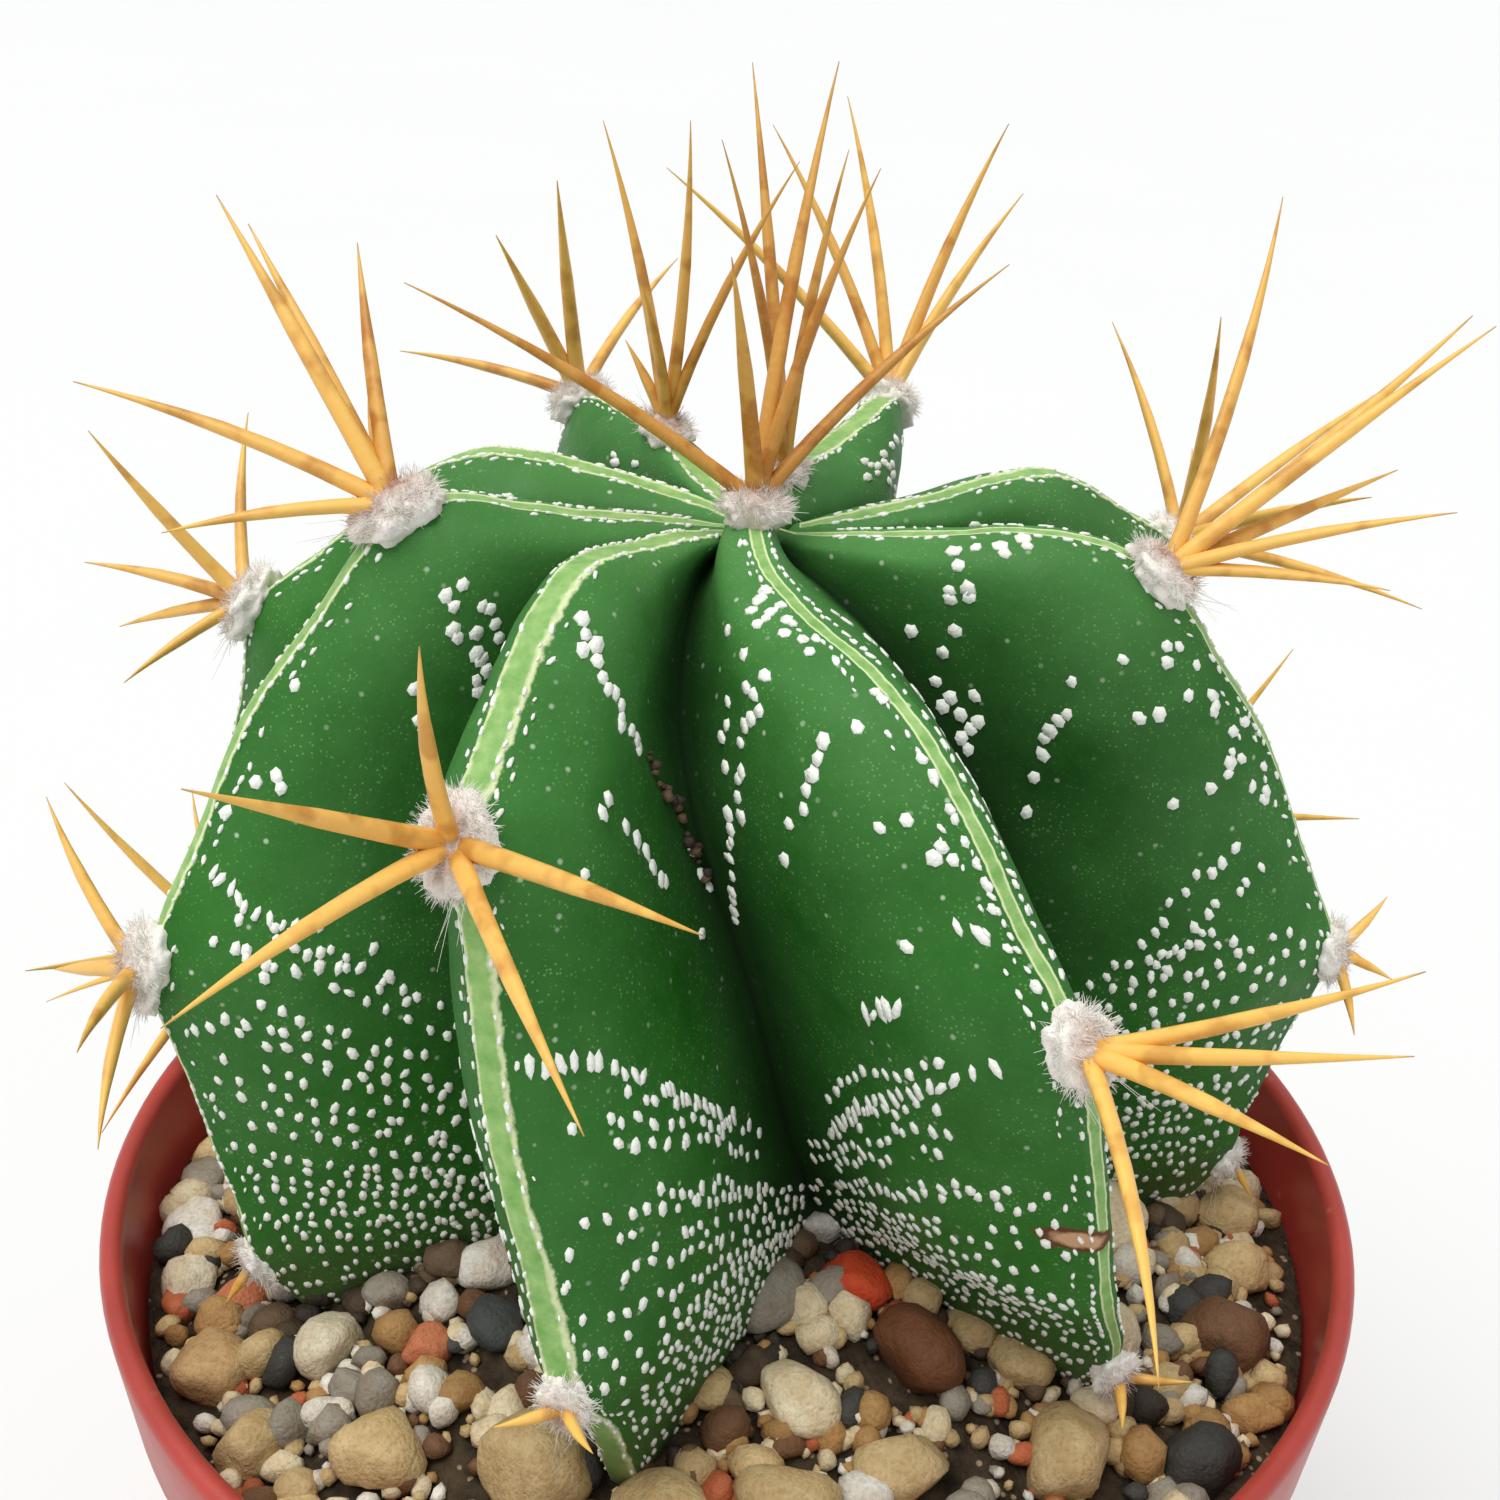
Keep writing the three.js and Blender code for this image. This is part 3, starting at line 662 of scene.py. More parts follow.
def skin_finish(look):
    """Green skin: pale crests, painted shade in the furrows, painted light on the shoulders, pores,
    a cork scar and a little dust.
    """
    finish = Finish("cactus_skin", 0.5, 0.15)
    graph = finish.graph
    fine = graph.effect("mottle", Scale=900.0, Soft=0.2)
    green, pores = skin_green(graph, look, fine)
    # Painted shade: the faces darken towards the furrows; the same mask also roughens them there.
    deep = graph.attribute("hollow")
    green = graph.mix(deep, green, FURROW_PAINTED_SHADE)
    green = cork_scar(graph, crest_band(graph, look, fine, green))
    dust = graph.effect("soil_dust", Height=0.007, Amount=0.75)
    finish.plug("Base Color", graph.mix(dust, green, SKIN_DUST))
    rough = graph.ramp(fine, 0.0, 1.0, 0.42, 0.62)
    finish.plug("Roughness", graph.plus(rough, graph.ramp(deep, 0.0, 0.4, 0.0, 0.38)))
    finish.bump(graph.plus(graph.noise(2600.0), graph.times(pores, 0.6)), 0.00006, 0.6)
    return finish.material


FELT_GREY = (0.5, 0.52, 0.42)
FELT_WORN = (0.42, 0.3, 0.17)
FELT_DUST = (0.22, 0.15, 0.09)


def felt_finish(look):
    """White felt of the flecks, tan and dirty near the soil."""
    finish = Finish("cactus_felt", 0.95, 0.15)
    graph = finish.graph
    grain = graph.noise(5200.0, 2.0)
    white = graph.mix(graph.ramp(grain, 0.35, 0.65, 0.0, 0.22), look.felt, FELT_GREY)
    white = graph.mix(graph.attribute("worn"), white, FELT_WORN)
    dust = graph.effect("soil_dust", Height=0.006, Amount=0.6)
    finish.plug("Base Color", graph.mix(dust, white, FELT_DUST))
    finish.bump(grain, 0.0001, 0.7)
    return finish.material


WOOL_SHADE = (0.7, 0.55, 0.45)


def wool_finish(look):
    """Cream wool with a pinkish-tan heart between the spines."""
    finish = Finish("cactus_wool", 0.95, 0.15)
    graph = finish.graph
    tuft = graph.noise(1500.0)
    heart = graph.times(graph.attribute("heart"), graph.ramp(tuft, 0.3, 0.65, 0.5, 1.1))
    cream = graph.mix(graph.ramp(tuft, 0.35, 0.7, 0.0, 0.22), look.wool, WOOL_SHADE)
    finish.plug("Base Color", graph.mix(graph.limited(heart), cream, look.heart))
    finish.bump(tuft, 0.0002, 0.6)
    return finish.material


HORN_UPPER = (0.72, 0.46, 0.07)
HORN_TIP = (0.2, 0.09, 0.02)
HORN_STREAK = (0.92, 0.66, 0.3)


def spine_finish(look):
    """Horn of the spines: paler or browner one by one, with bands and a fine dark tip."""
    finish = Finish("cactus_spine", 0.42, 0.5)
    graph = finish.graph
    along = graph.attribute("along")
    bands = graph.noise(420.0, 2.0, 0.5)
    brown = graph.plus(graph.attribute("age"), graph.ramp(bands, 0.5, 0.64, -0.12, 0.42))
    horn = graph.mix(graph.limited(brown), look.young, look.old)
    horn = graph.mix(graph.ramp(along, 0.6, 1.0, 0.0, 0.4), horn, HORN_UPPER)
    horn = graph.mix(graph.ramp(along, 0.95, 1.0, 0.0, 0.6), horn, HORN_TIP)
    streak = graph.noise(2400.0, 2.0)
    horn = graph.mix(graph.ramp(streak, 0.45, 0.75, 0.0, 0.12), horn, HORN_STREAK)
    finish.plug("Base Color", horn)
    finish.plug("Roughness", graph.ramp(streak, 0.3, 0.7, 0.34, 0.55))
    finish.bump(graph.plus(streak, bands), 0.00005, 0.3)
    return finish.material


STONE_WARMTH = (0.72, 0.6, 0.46)
STONE_PITS = (0.09, 0.065, 0.04)


def stone_finish():
    """Gravel: each stone has its own colour, mottled and slightly dusty."""
    finish = Finish("gravel_stone", 0.7, 0.4)
    graph = finish.graph
    tone = graph.node("Attribute", attribute_name="tone").outputs["Color"]
    patches = graph.effect("mottle", Scale=700.0, Soft=0.16)
    grain = graph.noise(3800.0, 3.0)
    stone = graph.mix(graph.times(patches, 0.7), tone, STONE_WARMTH, "MULTIPLY")
    stone = graph.mix(graph.ramp(grain, 0.45, 0.75, 0.0, 0.3), stone, STONE_PITS)
    finish.plug("Base Color", stone)
    finish.plug("Roughness", graph.ramp(grain, 0.3, 0.7, 0.55, 0.85))
    finish.bump(graph.plus(grain, patches), 0.00016, 0.7)
    return finish.material


SOIL_DARK, SOIL_BROWN = (0.016, 0.011, 0.007), (0.085, 0.058, 0.034)
SOIL_GRAINS = (0.34, 0.25, 0.16)


def soil_finish():
    """Dark potting mix with pale mineral grains."""
    finish = Finish("potting_mix", 0.95, 0.2)
    graph = finish.graph
    soil = graph.mix(graph.effect("mottle", Scale=500.0, Soft=0.18), SOIL_DARK, SOIL_BROWN)
    grains = graph.effect("speckle", Scale=1500.0, Size=0.22, Share=0.22)
    finish.plug("Base Color", graph.mix(grains, soil, SOIL_GRAINS))
    finish.bump(graph.noise(1900.0, 5.0), 0.0005)
    return finish.material


PLASTIC_SHADES = (0.85, 1.1)
SCUFF_TINT = (0.5, 0.25, 0.2)
FLOOR_SHADE = 0.98


def plastic_finish(look):
    """Satin moulded plastic, a little uneven and dotted with pale scuffs."""
    finish = Finish("pot_plastic", 0.36, 0.5)
    graph = finish.graph
    patches = graph.effect("mottle", Scale=90.0, Soft=0.2)
    red = graph.mix(patches, *(Vector(look.plastic) * shade for shade in PLASTIC_SHADES))
    scuffs = graph.effect("speckle", Scale=420.0, Size=0.05, Share=0.2)
    finish.plug("Base Color", graph.mix(graph.times(scuffs, 0.3), red, SCUFF_TINT))
    finish.plug("Roughness", graph.ramp(patches, 0.0, 1.0, 0.3, 0.46))
    finish.bump(graph.noise(2600.0, 3.0), 0.00005, 0.4)
    return finish.material


def floor_finish(look):
    finish = Finish("pale_floor", 0.8, 0.2)
    patches = finish.graph.effect("mottle", Scale=3.0, Soft=0.3)
    base = Vector(look.backdrop)
    finish.plug("Base Color", finish.graph.mix(patches, base * FLOOR_SHADE, base))
    return finish.material


# ---- Pot ----

POT_SEGMENTS = 128
LIP_STEPS = 10
BASE_CHAMFER = 1.0
BASE_EDGE = 0.25                # height of the softened corner in that chamfer
EDGE_ROUND = 0.45
BAND_UNDER = (1.0, 0.6, 0.15)   # how far three corners of the band's underside lie under its foot
DRAIN_SIDES = 32
SHARP_EDGE = 50                 # degrees from which the pot's edges stay crisp


def pot_outline():
    lip = RIM_WIDTH / 2
    arc = [
        (RIM_RADIUS - lip + lip * math.cos(angle), POT_HEIGHT - lip + lip * math.sin(angle))
        for angle in (i / LIP_STEPS * math.pi for i in range(LIP_STEPS + 1))
    ]
    wall_top, corner, edge = (BAND_FOOT - drop for drop in BAND_UNDER)
    return [
        (0, 0),
        (BASE_RADIUS - BASE_CHAMFER, 0),
        (BASE_RADIUS - EDGE_ROUND, BASE_EDGE),
        (BASE_RADIUS, BASE_CHAMFER),
        (wall_radius(wall_top), wall_top),
        (wall_radius(wall_top) + EDGE_ROUND, corner),
        (RIM_RADIUS - BAND_SET - EDGE_ROUND, edge),
        (RIM_RADIUS - BAND_SET, BAND_FOOT + EDGE_ROUND),
        *arc,
        (BAND_INSIDE, STEP_TOP),
        (wall_radius(STEP_FOOT) - WALL, STEP_FOOT),
        (wall_radius(FLOOR) - WALL, FLOOR),
        (0, FLOOR),
    ]


def cut_drains(piece):
    """Cuts the drain holes through the pot's floor."""
    bm = bmesh.new()
    for i in range(DRAIN_HOLES):
        centre = at_azimuth(DRAIN_CIRCLE, 360 * i / DRAIN_HOLES + DRAIN_TURN, FLOOR / 2) * MM
        bmesh.ops.create_cone(
            bm, cap_ends=True, segments=DRAIN_SIDES, radius1=DRAIN_RADIUS * MM,
            radius2=DRAIN_RADIUS * MM, depth=4 * FLOOR * MM, matrix=Matrix.Translation(centre),
        )
    cutter = add_object("drain_cut", settled("drain_cut", bm))
    cut = piece.modifiers.new("drains", "BOOLEAN")
    cut.object = cutter
    cut.solver = "EXACT"
    bpy.context.view_layer.update()
    made = bpy.data.meshes.new_from_object(
        piece.evaluated_get(bpy.context.evaluated_depsgraph_get())
    )
    piece.modifiers.clear()
    piece.data = made
    bpy.data.objects.remove(cutter)


class CACTUS_OT_pot(bpy.types.Operator):
    """Turn the plastic pot with its rolled rim and drain holes"""

    bl_idname = "cactus.pot"
    bl_label = "Pot"

    def execute(self, context):
        material = plastic_finish(context.scene.cactus_pot)
        piece = add_piece("pot_body", spun(pot_outline(), POT_SEGMENTS), material, ["pot"])
        cut_drains(piece)
        piece.data.set_sharp_from_angle(angle=math.radians(SHARP_EDGE))
        return {"FINISHED"}


# ---- Soil and gravel ----

BED_SEGMENTS = 150
BED_STEPS = 40
BED_SUNK = 0.35                 # how far the bed between the stones lies under their level
BED_EDGE = 0.6                  # how far under the bed's rim its rough top starts
BED_ROUGHNESS = 0.55
BED_LUMPS = 0.7                 # lumps in a millimetre
BED_FRACTAL = (0.6, 2.1, 3)
STONE_CUTS = 12
CUT_DEPTH = (0.68, 1.0)         # distance of a stone's flat facets from its middle
CUT_LEAN = 0.2
STONE_ROUND = (0.93, 0.12)      # the reach that facets are softened towards, and how much
STONE_BALL = 1.06
STONE_DENTS = (0.05, 2.3)       # depth and fineness
PEBBLE_DETAIL = 3
GRIT_EDGE = 1.2                 # how far grit keeps off the pot
GRIT_OFF_STEM = 0.2
GRIT_OFF_PEBBLE = 0.75          # share of a pebble's radius
GRIT_RISE = (0.1, 0.5)
GRIT_BREADTH = (0.7, 1.0)
GRIT_HEIGHT = (0.6, 0.95)
GRIT_SIZES = ((1.0, 1.9), (0.4, 0.95))   # coarse and fine
COARSE_SHARE = 3                # one coarse stone for so many fine ones
FINE_DETAIL = 0.75              # size from which grit has more faces
DIRT_REACH = 6.0                # how far from the stem soil crumbs lie between the stones
DIRT_SHARE = 0.7
SET_TONES = {
    "brick": (0.66, 0.07, 0.015),
    "brown": (0.17, 0.06, 0.022),
    "white": (0.8, 0.77, 0.7),
    "slate": (0.05, 0.06, 0.06),
    "salmon": (0.6, 0.2, 0.09),
    "cream": (0.72, 0.64, 0.48),
    "tan": (0.52, 0.33, 0.15),
}
DIRT_TONES = [(0.07, 0.045, 0.025), (0.14, 0.09, 0.05), (0.035, 0.025, 0.018)]
TONE_SPREAD = 0.12
# The scattered stones' tones, each with its weight in the draw.
STONE_TONES = [
    ((0.78, 0.67, 0.46), 5),
    ((0.6, 0.44, 0.22), 5),
    ((0.78, 0.75, 0.68), 4),
    ((0.44, 0.25, 0.09), 4),
    ((0.5, 0.13, 0.05), 2),
    ((0.17, 0.08, 0.035), 2),
    ((0.045, 0.045, 0.042), 2),
    ((0.3, 0.27, 0.22), 2),
]


def bed_outline():
    inside = wall_radius(STEP_FOOT) - WALL - GAP
    foot = SOIL_TOP + GAP
    top = [
        (radius, bed_height(radius) - BED_SUNK)
        for radius in (GRAVEL_REACH * (1 - i / BED_STEPS) for i in range(BED_STEPS + 1))
    ]
    return [(0, foot), (inside, foot), (GRAVEL_REACH, STEP_TOP + GAP), *top]


def stone(heap, tone, centre, size, squash, turn, rng, detail):
    """One stone: a ball cut back by a few soft facets, then squashed, turned and set down."""
    bm, layer = heap.place()
    made = bmesh.ops.create_icosphere(bm, subdivisions=detail, radius=1.0)
    cuts = [(noise.random_unit_vector(), rng.uniform(*CUT_DEPTH)) for _ in range(STONE_CUTS)]
    place = Matrix.Translation(centre) @ turn @ Matrix.Diagonal((*squash, 1.0))
    for vert in made["verts"]:
        way = vert.co.normalized()
        reach = STONE_BALL
        for facing, depth in cuts:
            lean = way.dot(facing)
            if lean > CUT_LEAN:
                reach = min(reach, depth / lean)
        dent, fineness = STONE_DENTS
        reach = lerp(reach, *STONE_ROUND) + dent * noise.noise(way * fineness + centre)
        vert.co = place @ (way * size * reach)
        vert[layer] = Vector((*tone, 1.0))


def any_turn(rng):
    return Matrix.Rotation(rng.uniform(0, math.pi), 4, noise.random_unit_vector())


def pick_tone(rng):
    tones, weights = zip(*STONE_TONES)
    shade = 1 + rng.uniform(-TONE_SPREAD, TONE_SPREAD)
    return [channel * shade for channel in rng.choices(tones, weights)[0]]


def lay_pebbles(heap, rng):
    """Pebbles by the rule that the solid gravel follows: same places, sizes and turns."""
    draw = seeded_random(PEBBLE_SEED)
    placed = []

    def lay(centre, size, tone):
        placed.append((centre.copy(), size))
        centre.z = bed_height(math.hypot(centre.x, centre.y)) + size * PEBBLE_RISE
        first = Matrix.Rotation(next(draw) * math.pi, 4, "Z")
        for _ in range(PEBBLE_CORNERS):
            next(draw)
        squash = (1.0, lerp(*PEBBLE_BREADTH, next(draw)), lerp(*PEBBLE_HEIGHT, next(draw)))
        tilt = Matrix.Rotation(lerp(-PEBBLE_TILT, PEBBLE_TILT, next(draw)), 4, "X")
        spin = Matrix.Rotation(next(draw) * math.pi, 4, "Z")
        turn = spin @ tilt @ Matrix.Diagonal((*squash, 1.0)) @ first
        stone(heap, tone, centre, size * STONE_BALL, (1, 1, 1), turn, rng, PEBBLE_DETAIL)

    for x, y, size, tone in SET_STONES:
        lay(Vector((x, y, 0.0)), size, SET_TONES[tone])
    for attempt in range(PEBBLE_TRIES):
        settled = attempt / PEBBLE_TRIES
        size = lerp(*PEBBLE_RADIUS, settled) * lerp(*PEBBLE_VARIES, next(draw))
        reach = min(math.sqrt(next(draw)) * GRAVEL_REACH, GRAVEL_REACH - size * PEBBLE_INSET)
        centre = at_azimuth(reach, next(draw) * 360 - 180)
        free = all((other - centre).length > PEBBLE_SPACING * (size + r) for other, r in placed)
        if free and foot_reach(centre.x, centre.y) >= PEBBLE_CLEAR * size:
            lay(centre, size, pick_tone(rng))
    return placed


def lay_grit(heap, rng, count, sizes, placed):
    """Small stones in the gaps, with dark crumbs of soil where it has washed against the stem."""
    for _ in range(count):
        reach = math.sqrt(rng.random()) * (GRAVEL_REACH - GRIT_EDGE)
        centre = at_azimuth(reach, rng.uniform(-180, 180))
        away = foot_reach(centre.x, centre.y)
        size = rng.uniform(*sizes)
        under = any((other - centre).length < r * GRIT_OFF_PEBBLE for other, r in placed)
        if away < GRIT_OFF_STEM or under:
            continue
        centre.z = bed_height(reach) + size * rng.uniform(*GRIT_RISE)
        turn = any_turn(rng)
        squash = (1.0, rng.uniform(*GRIT_BREADTH), rng.uniform(*GRIT_HEIGHT))
        tone = pick_tone(rng)
        if away < DIRT_REACH and rng.random() < DIRT_SHARE:
            tone = rng.choice(DIRT_TONES)
        stone(heap, tone, centre, size, squash, turn, rng, 2 if size > FINE_DETAIL else 1)


class CACTUS_OT_soil(bpy.types.Operator):
    """Give the potting mix its finish and lay the dark bed between the stones"""

    bl_idname = "cactus.soil"
    bl_label = "Soil"

    def execute(self, context):
        material = soil_finish()
        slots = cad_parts["potting_soil"].data.materials
        slots.clear()
        slots.append(material)
        bm = spun(bed_outline(), BED_SEGMENTS)
        for vert in bm.verts:
            if vert.co.z > GRAVEL_BED - BED_EDGE:
                vert.co.z += BED_ROUGHNESS * noise.fractal(vert.co * BED_LUMPS, *BED_FRACTAL)
        add_piece("gravel_bed", bm, material, ["gravel"])
        return {"FINISHED"}


class CACTUS_OT_gravel(bpy.types.Operator):
    """Lay the pebbles and the grit between them"""

    bl_idname = "cactus.gravel"
    bl_label = "Gravel"

    def execute(self, context):
        material = stone_finish()
        rng = random.Random(PEBBLE_SEED)
        noise.seed_set(PEBBLE_SEED)
        heap = Heap("tone", "float_color")
        placed = lay_pebbles(heap, rng)
        add_piece("pebbles", heap.gathered(), material)
        heap = Heap("tone", "float_color")
        coarse, fine = GRIT_SIZES
        grit = context.scene.cactus_pot.grit
        lay_grit(heap, rng, grit // COARSE_SHARE, coarse, placed)
        lay_grit(heap, rng, grit, fine, placed)
        add_piece("grit", heap.gathered(), material)
        return {"FINISHED"}


# ---- Stem ----

ACROSS_STEPS = 20               # grid steps from a crest to a furrow
STEM_ROWS = 200
RIDGE_STEPS = 4
BAND_HALF = {"A": 0.92, "B": 0.4, "C": 0.7, "D": 0.5}   # half widths of the crests' pale bands
OTHER_BAND_HALF = 0.85
FURROW_SHADE_FROM = 0.5               # across value from which painted shade darkens a face towards the furrow
FURROW_SHADE_CURVE = 2.2
CROWN_FROM, CROWN_SPAN = 0.55, 0.4   # t from which painted light lightens the skin towards the crown, and over how much of it
# Strengths of the painted light at the crown and on the crests.
CROWN_PAINTED_LIGHT, CREST_PAINTED_LIGHT = 0.62, 0.22
CREST_LIGHT_CURVE = 1.5
SWELLS = ((0.3, 0.09), (0.1, 0.4))   # depths of the skin's swells and dents, and their fineness
DENT_PLACE = Vector((9, 4, 1))
SKIN_SEED = 3


def across_at(step):
    """Across value of a grid step, with closer steps on the rounded ridge."""
    side = -1 if step < 0 else 1
    step = abs(step)
    if step <= RIDGE_STEPS:
        return side * RIDGE_SHARE * step / RIDGE_STEPS
    share = (step - RIDGE_STEPS) / (ACROSS_STEPS - RIDGE_STEPS)
    return side * lerp(RIDGE_SHARE, 1.0, share)


def unevenness(point):
    """Low swells and dents of living skin, in millimetres."""
    (swell, broad), (dent, fine) = SWELLS
    return swell * noise.noise(point * broad) + dent * noise.noise(point * fine + DENT_PLACE)


def painted_top_light(across, t):
    """Painted light: how much the skin is lightened towards the crown and the crest, in place of
    top light and sheen.
    """
    crown = CROWN_PAINTED_LIGHT * clamp((t - CROWN_FROM) / CROWN_SPAN)
    return crown + CREST_PAINTED_LIGHT * (1 - abs(across)) ** CREST_LIGHT_CURVE


def stem_skin():
    """A grid wrapped round the stem's ribs and closed at the foot and the crown."""
    bm = bmesh.new()
    columns = 2 * ACROSS_STEPS * len(RIBS)
    bmesh.ops.create_grid(bm, x_segments=columns, y_segments=STEM_ROWS, size=0.5)
    layers = {name: bm.verts.layers.float.new(name) for name in ("ridge", "hollow", "shoulder")}
    levels = {}
    for vert in bm.verts:
        column = round((vert.co.x + 0.5) * columns)
        row = round((vert.co.y + 0.5) * STEM_ROWS)
        rib = RIB_NAMES[min(column // (2 * ACROSS_STEPS), len(RIBS) - 1)]
        across = across_at(column - ACROSS_STEPS - RIB_NAMES.index(rib) * 2 * ACROSS_STEPS)
        t = lerp(-FOOT_SPAN, 1.0, row / STEM_ROWS)
        if (rib, row) not in levels:
            levels[rib, row] = RibLevel(rib, max(t, 0.0))
        point = levels[rib, row].point(across)
        # Painted shade: a face darkens towards the furrow.
        hollow = clamp((abs(across) - FURROW_SHADE_FROM) / (1 - FURROW_SHADE_FROM)) ** FURROW_SHADE_CURVE
        vert[layers["ridge"]] = ridge_distance(rib, levels[rib, row], across)
        vert[layers["hollow"]] = hollow
        # Painted light: lighter towards the crown and the crests, kept out of the furrows' painted
        # shade.
        vert[layers["shoulder"]] = painted_top_light(across, t) * (1 - hollow)
        vert.co = sunk(point, t)
    bmesh.ops.remove_doubles(bm, verts=bm.verts, dist=1e-3)
    bmesh.ops.holes_fill(bm, edges=[e for e in bm.edges if e.is_boundary], sides=0)
    bmesh.ops.recalc_face_normals(bm, faces=bm.faces)
    bm.normal_update()
    shifts = [vert.normal * unevenness(vert.co) for vert in bm.verts]
    for vert, shift in zip(bm.verts, shifts):
        vert.co += shift
    return bm


def ridge_distance(rib, level, across):
    """Distance from the crest line, in half widths of the rib's pale band."""
    run = (level.furrows[1 if across > 0 else -1] - level.crest).length
    turn = min(abs(across) / RIDGE_SHARE, 1.0) * math.pi / 2
    on_ridge = math.sin(turn) * CREST_WIDTH / 2
    on_face = max(abs(across) - RIDGE_SHARE, 0.0) / (1 - RIDGE_SHARE) * run
    return (on_ridge + on_face) / BAND_HALF.get(rib, OTHER_BAND_HALF)


class CACTUS_OT_stem(bpy.types.Operator):
    """Model the eight-ribbed stem"""

    bl_idname = "cactus.stem"
    bl_label = "Stem"

    def execute(self, context):
        noise.seed_set(SKIN_SEED)
        skin = skin_finish(context.scene.cactus_stem)
        add_piece("stem_skin", stem_skin(), skin, ["stem"])
        return {"FINISHED"}


# ---- Flecks ----

FLECK_SIDES = 6
FLECK_RISE = 0.08               # half of a fleck's thickness, and how far its middle is lifted
FLECK_LIFT = 0.02
FLECK_TOP = 0.4                 # radius of its top, where its foot's is 0.5
RAGGED = (0.74, 1.26)
FLECK_SWING = 16                # degrees that the flecks' headings vary by
LONE_BREADTH = 0.84             # widths of lone flecks, of rows and of bars, to their length
ROW_BREADTH = 0.66
BAR_BREADTH = 0.42
BAR_SIZE = 1.2                  # size from which a row is one of bars
LONE_SIZE = (1.0, 1.35)
ROW_GAPS = 0.1                  # share of a row's places that stay empty, but for bars
ROW_UNEVEN = 0.2                # how far flecks shift along their row, to its spacing
ROW_WANDER_UP = 0.3             # straying up the face, to that across it
FACE_RUN = 21.0                 # millimetres from a crest to a furrow, on the whole
CREST_RUN = 68.0                # millimetres along a crest from soil to crown
FAN_ROWS = 22
FAN_TOP = 0.43                  # t of the highest and the lowest row, at the crest
FAN_FOOT = 0.02
FAN_FALL = 0.2                  # how far the upper rows fall towards the furrow
FAN_UNEVEN = 0.008              # how far a whole row lies from its even place
FAN_START, FAN_END = (0.08, 0.15), (0.93, 0.98)
LOOSE_ROWS = 0.15               # share of the rows, from the top, that are shorter than the rest
LOOSE_START, LOOSE_END = 0.25, 0.3
FAN_PITCH = (0.92, 0.74)        # millimetres between flecks, from the top row to the lowest
FAN_CLOSER = (1.1, 0.8)         # the same, from the crest to the furrow
FAN_STEP_VARIES = (0.82, 1.18)
FAN_GAPS = (0.02, 0.12)
FAN_SIZE = (1.12, 0.78)
FAN_SIZE_VARIES = (0.82, 1.15)
FAN_STRAY = (0.006, 0.003)      # how far single flecks stray across and up the face
FAN_EDGE = (0.985, 0.004)       # across and t past which no fleck is set
# Rows along a crest: their number, across value and share of gaps.
CREST_ROWS = [(0, -0.075, 0.25), (1, 0.075, 0.25), (2, -0.125, 0.45), (3, 0.125, 0.45)]
CREST_REACH = (0.03, 0.94)
CREST_STEP = (0.008, 0.014)
CREST_PATCHES = (0.25, 30)      # how much gaps come in patches, and how close these are
CREST_STRAY = 0.007
CREST_LENGTH = (0.35, 0.8)
CREST_BREADTH = 0.42
CREST_SWING = 14
# The row of flecks on a face that has no rows of its own below.
PLAIN_ROW = ([(0.42, 0.8), (0.6, 0.72), (0.78, 0.62), (0.9, 0.48)], 1.0, 1.1, 0.03)
SHORT_ROWS = (2, 4)

# Rows of flecks over the fans, by rib and side: points of (across, t) from the crest at 0 to the
# furrow at 1, spacing in millimetres, size, and how far they stray.
FACE_CHAINS = {
    ("A", 1): [
        ([(0.14, 0.44), (0.3, 0.43), (0.44, 0.4)], 0.72, 1.5, 0.004),
        ([(0.46, 0.39), (0.62, 0.35), (0.78, 0.3)], 0.9, 1.35, 0.01),
    ],
    ("B", -1): [
        ([(0.22, 0.43), (0.4, 0.39), (0.62, 0.34), (0.84, 0.27)], 0.85, 1.5, 0.006),
        ([(0.4, 0.452), (0.54, 0.425)], 0.75, 1.7, 0.003),
        ([(0.17, 0.52), (0.11, 0.52)], 0.6, 1.5, 0.004),
        ([(0.86, 0.53), (0.94, 0.47), (0.98, 0.43)], 0.7, 1.1, 0.004),
        ([(0.13, 0.84), (0.1, 0.6), (0.08, 0.48)], 1.1, 0.95, 0.02),
    ],
    ("D", -1): [
        ([(0.26, 0.46), (0.4, 0.44), (0.52, 0.4), (0.66, 0.34)], 1.1, 1.2, 0.006),
        ([(0.2, 0.44), (0.36, 0.42), (0.5, 0.37), (0.62, 0.32)], 1.1, 1.1, 0.01),
        ([(0.14, 0.66), (0.15, 0.47)], 0.95, 1.1, 0.025),
    ],
    ("C", 1): [
        ([(0.14, 0.45), (0.24, 0.43), (0.36, 0.42), (0.46, 0.42)], 0.7, 1.35, 0.004),
        ([(0.28, 0.39), (0.42, 0.39), (0.54, 0.385), (0.66, 0.34)], 0.9, 1.15, 0.02),
        ([(0.34, 0.41), (0.5, 0.4)], 0.8, 1.1, 0.01),
    ],
}
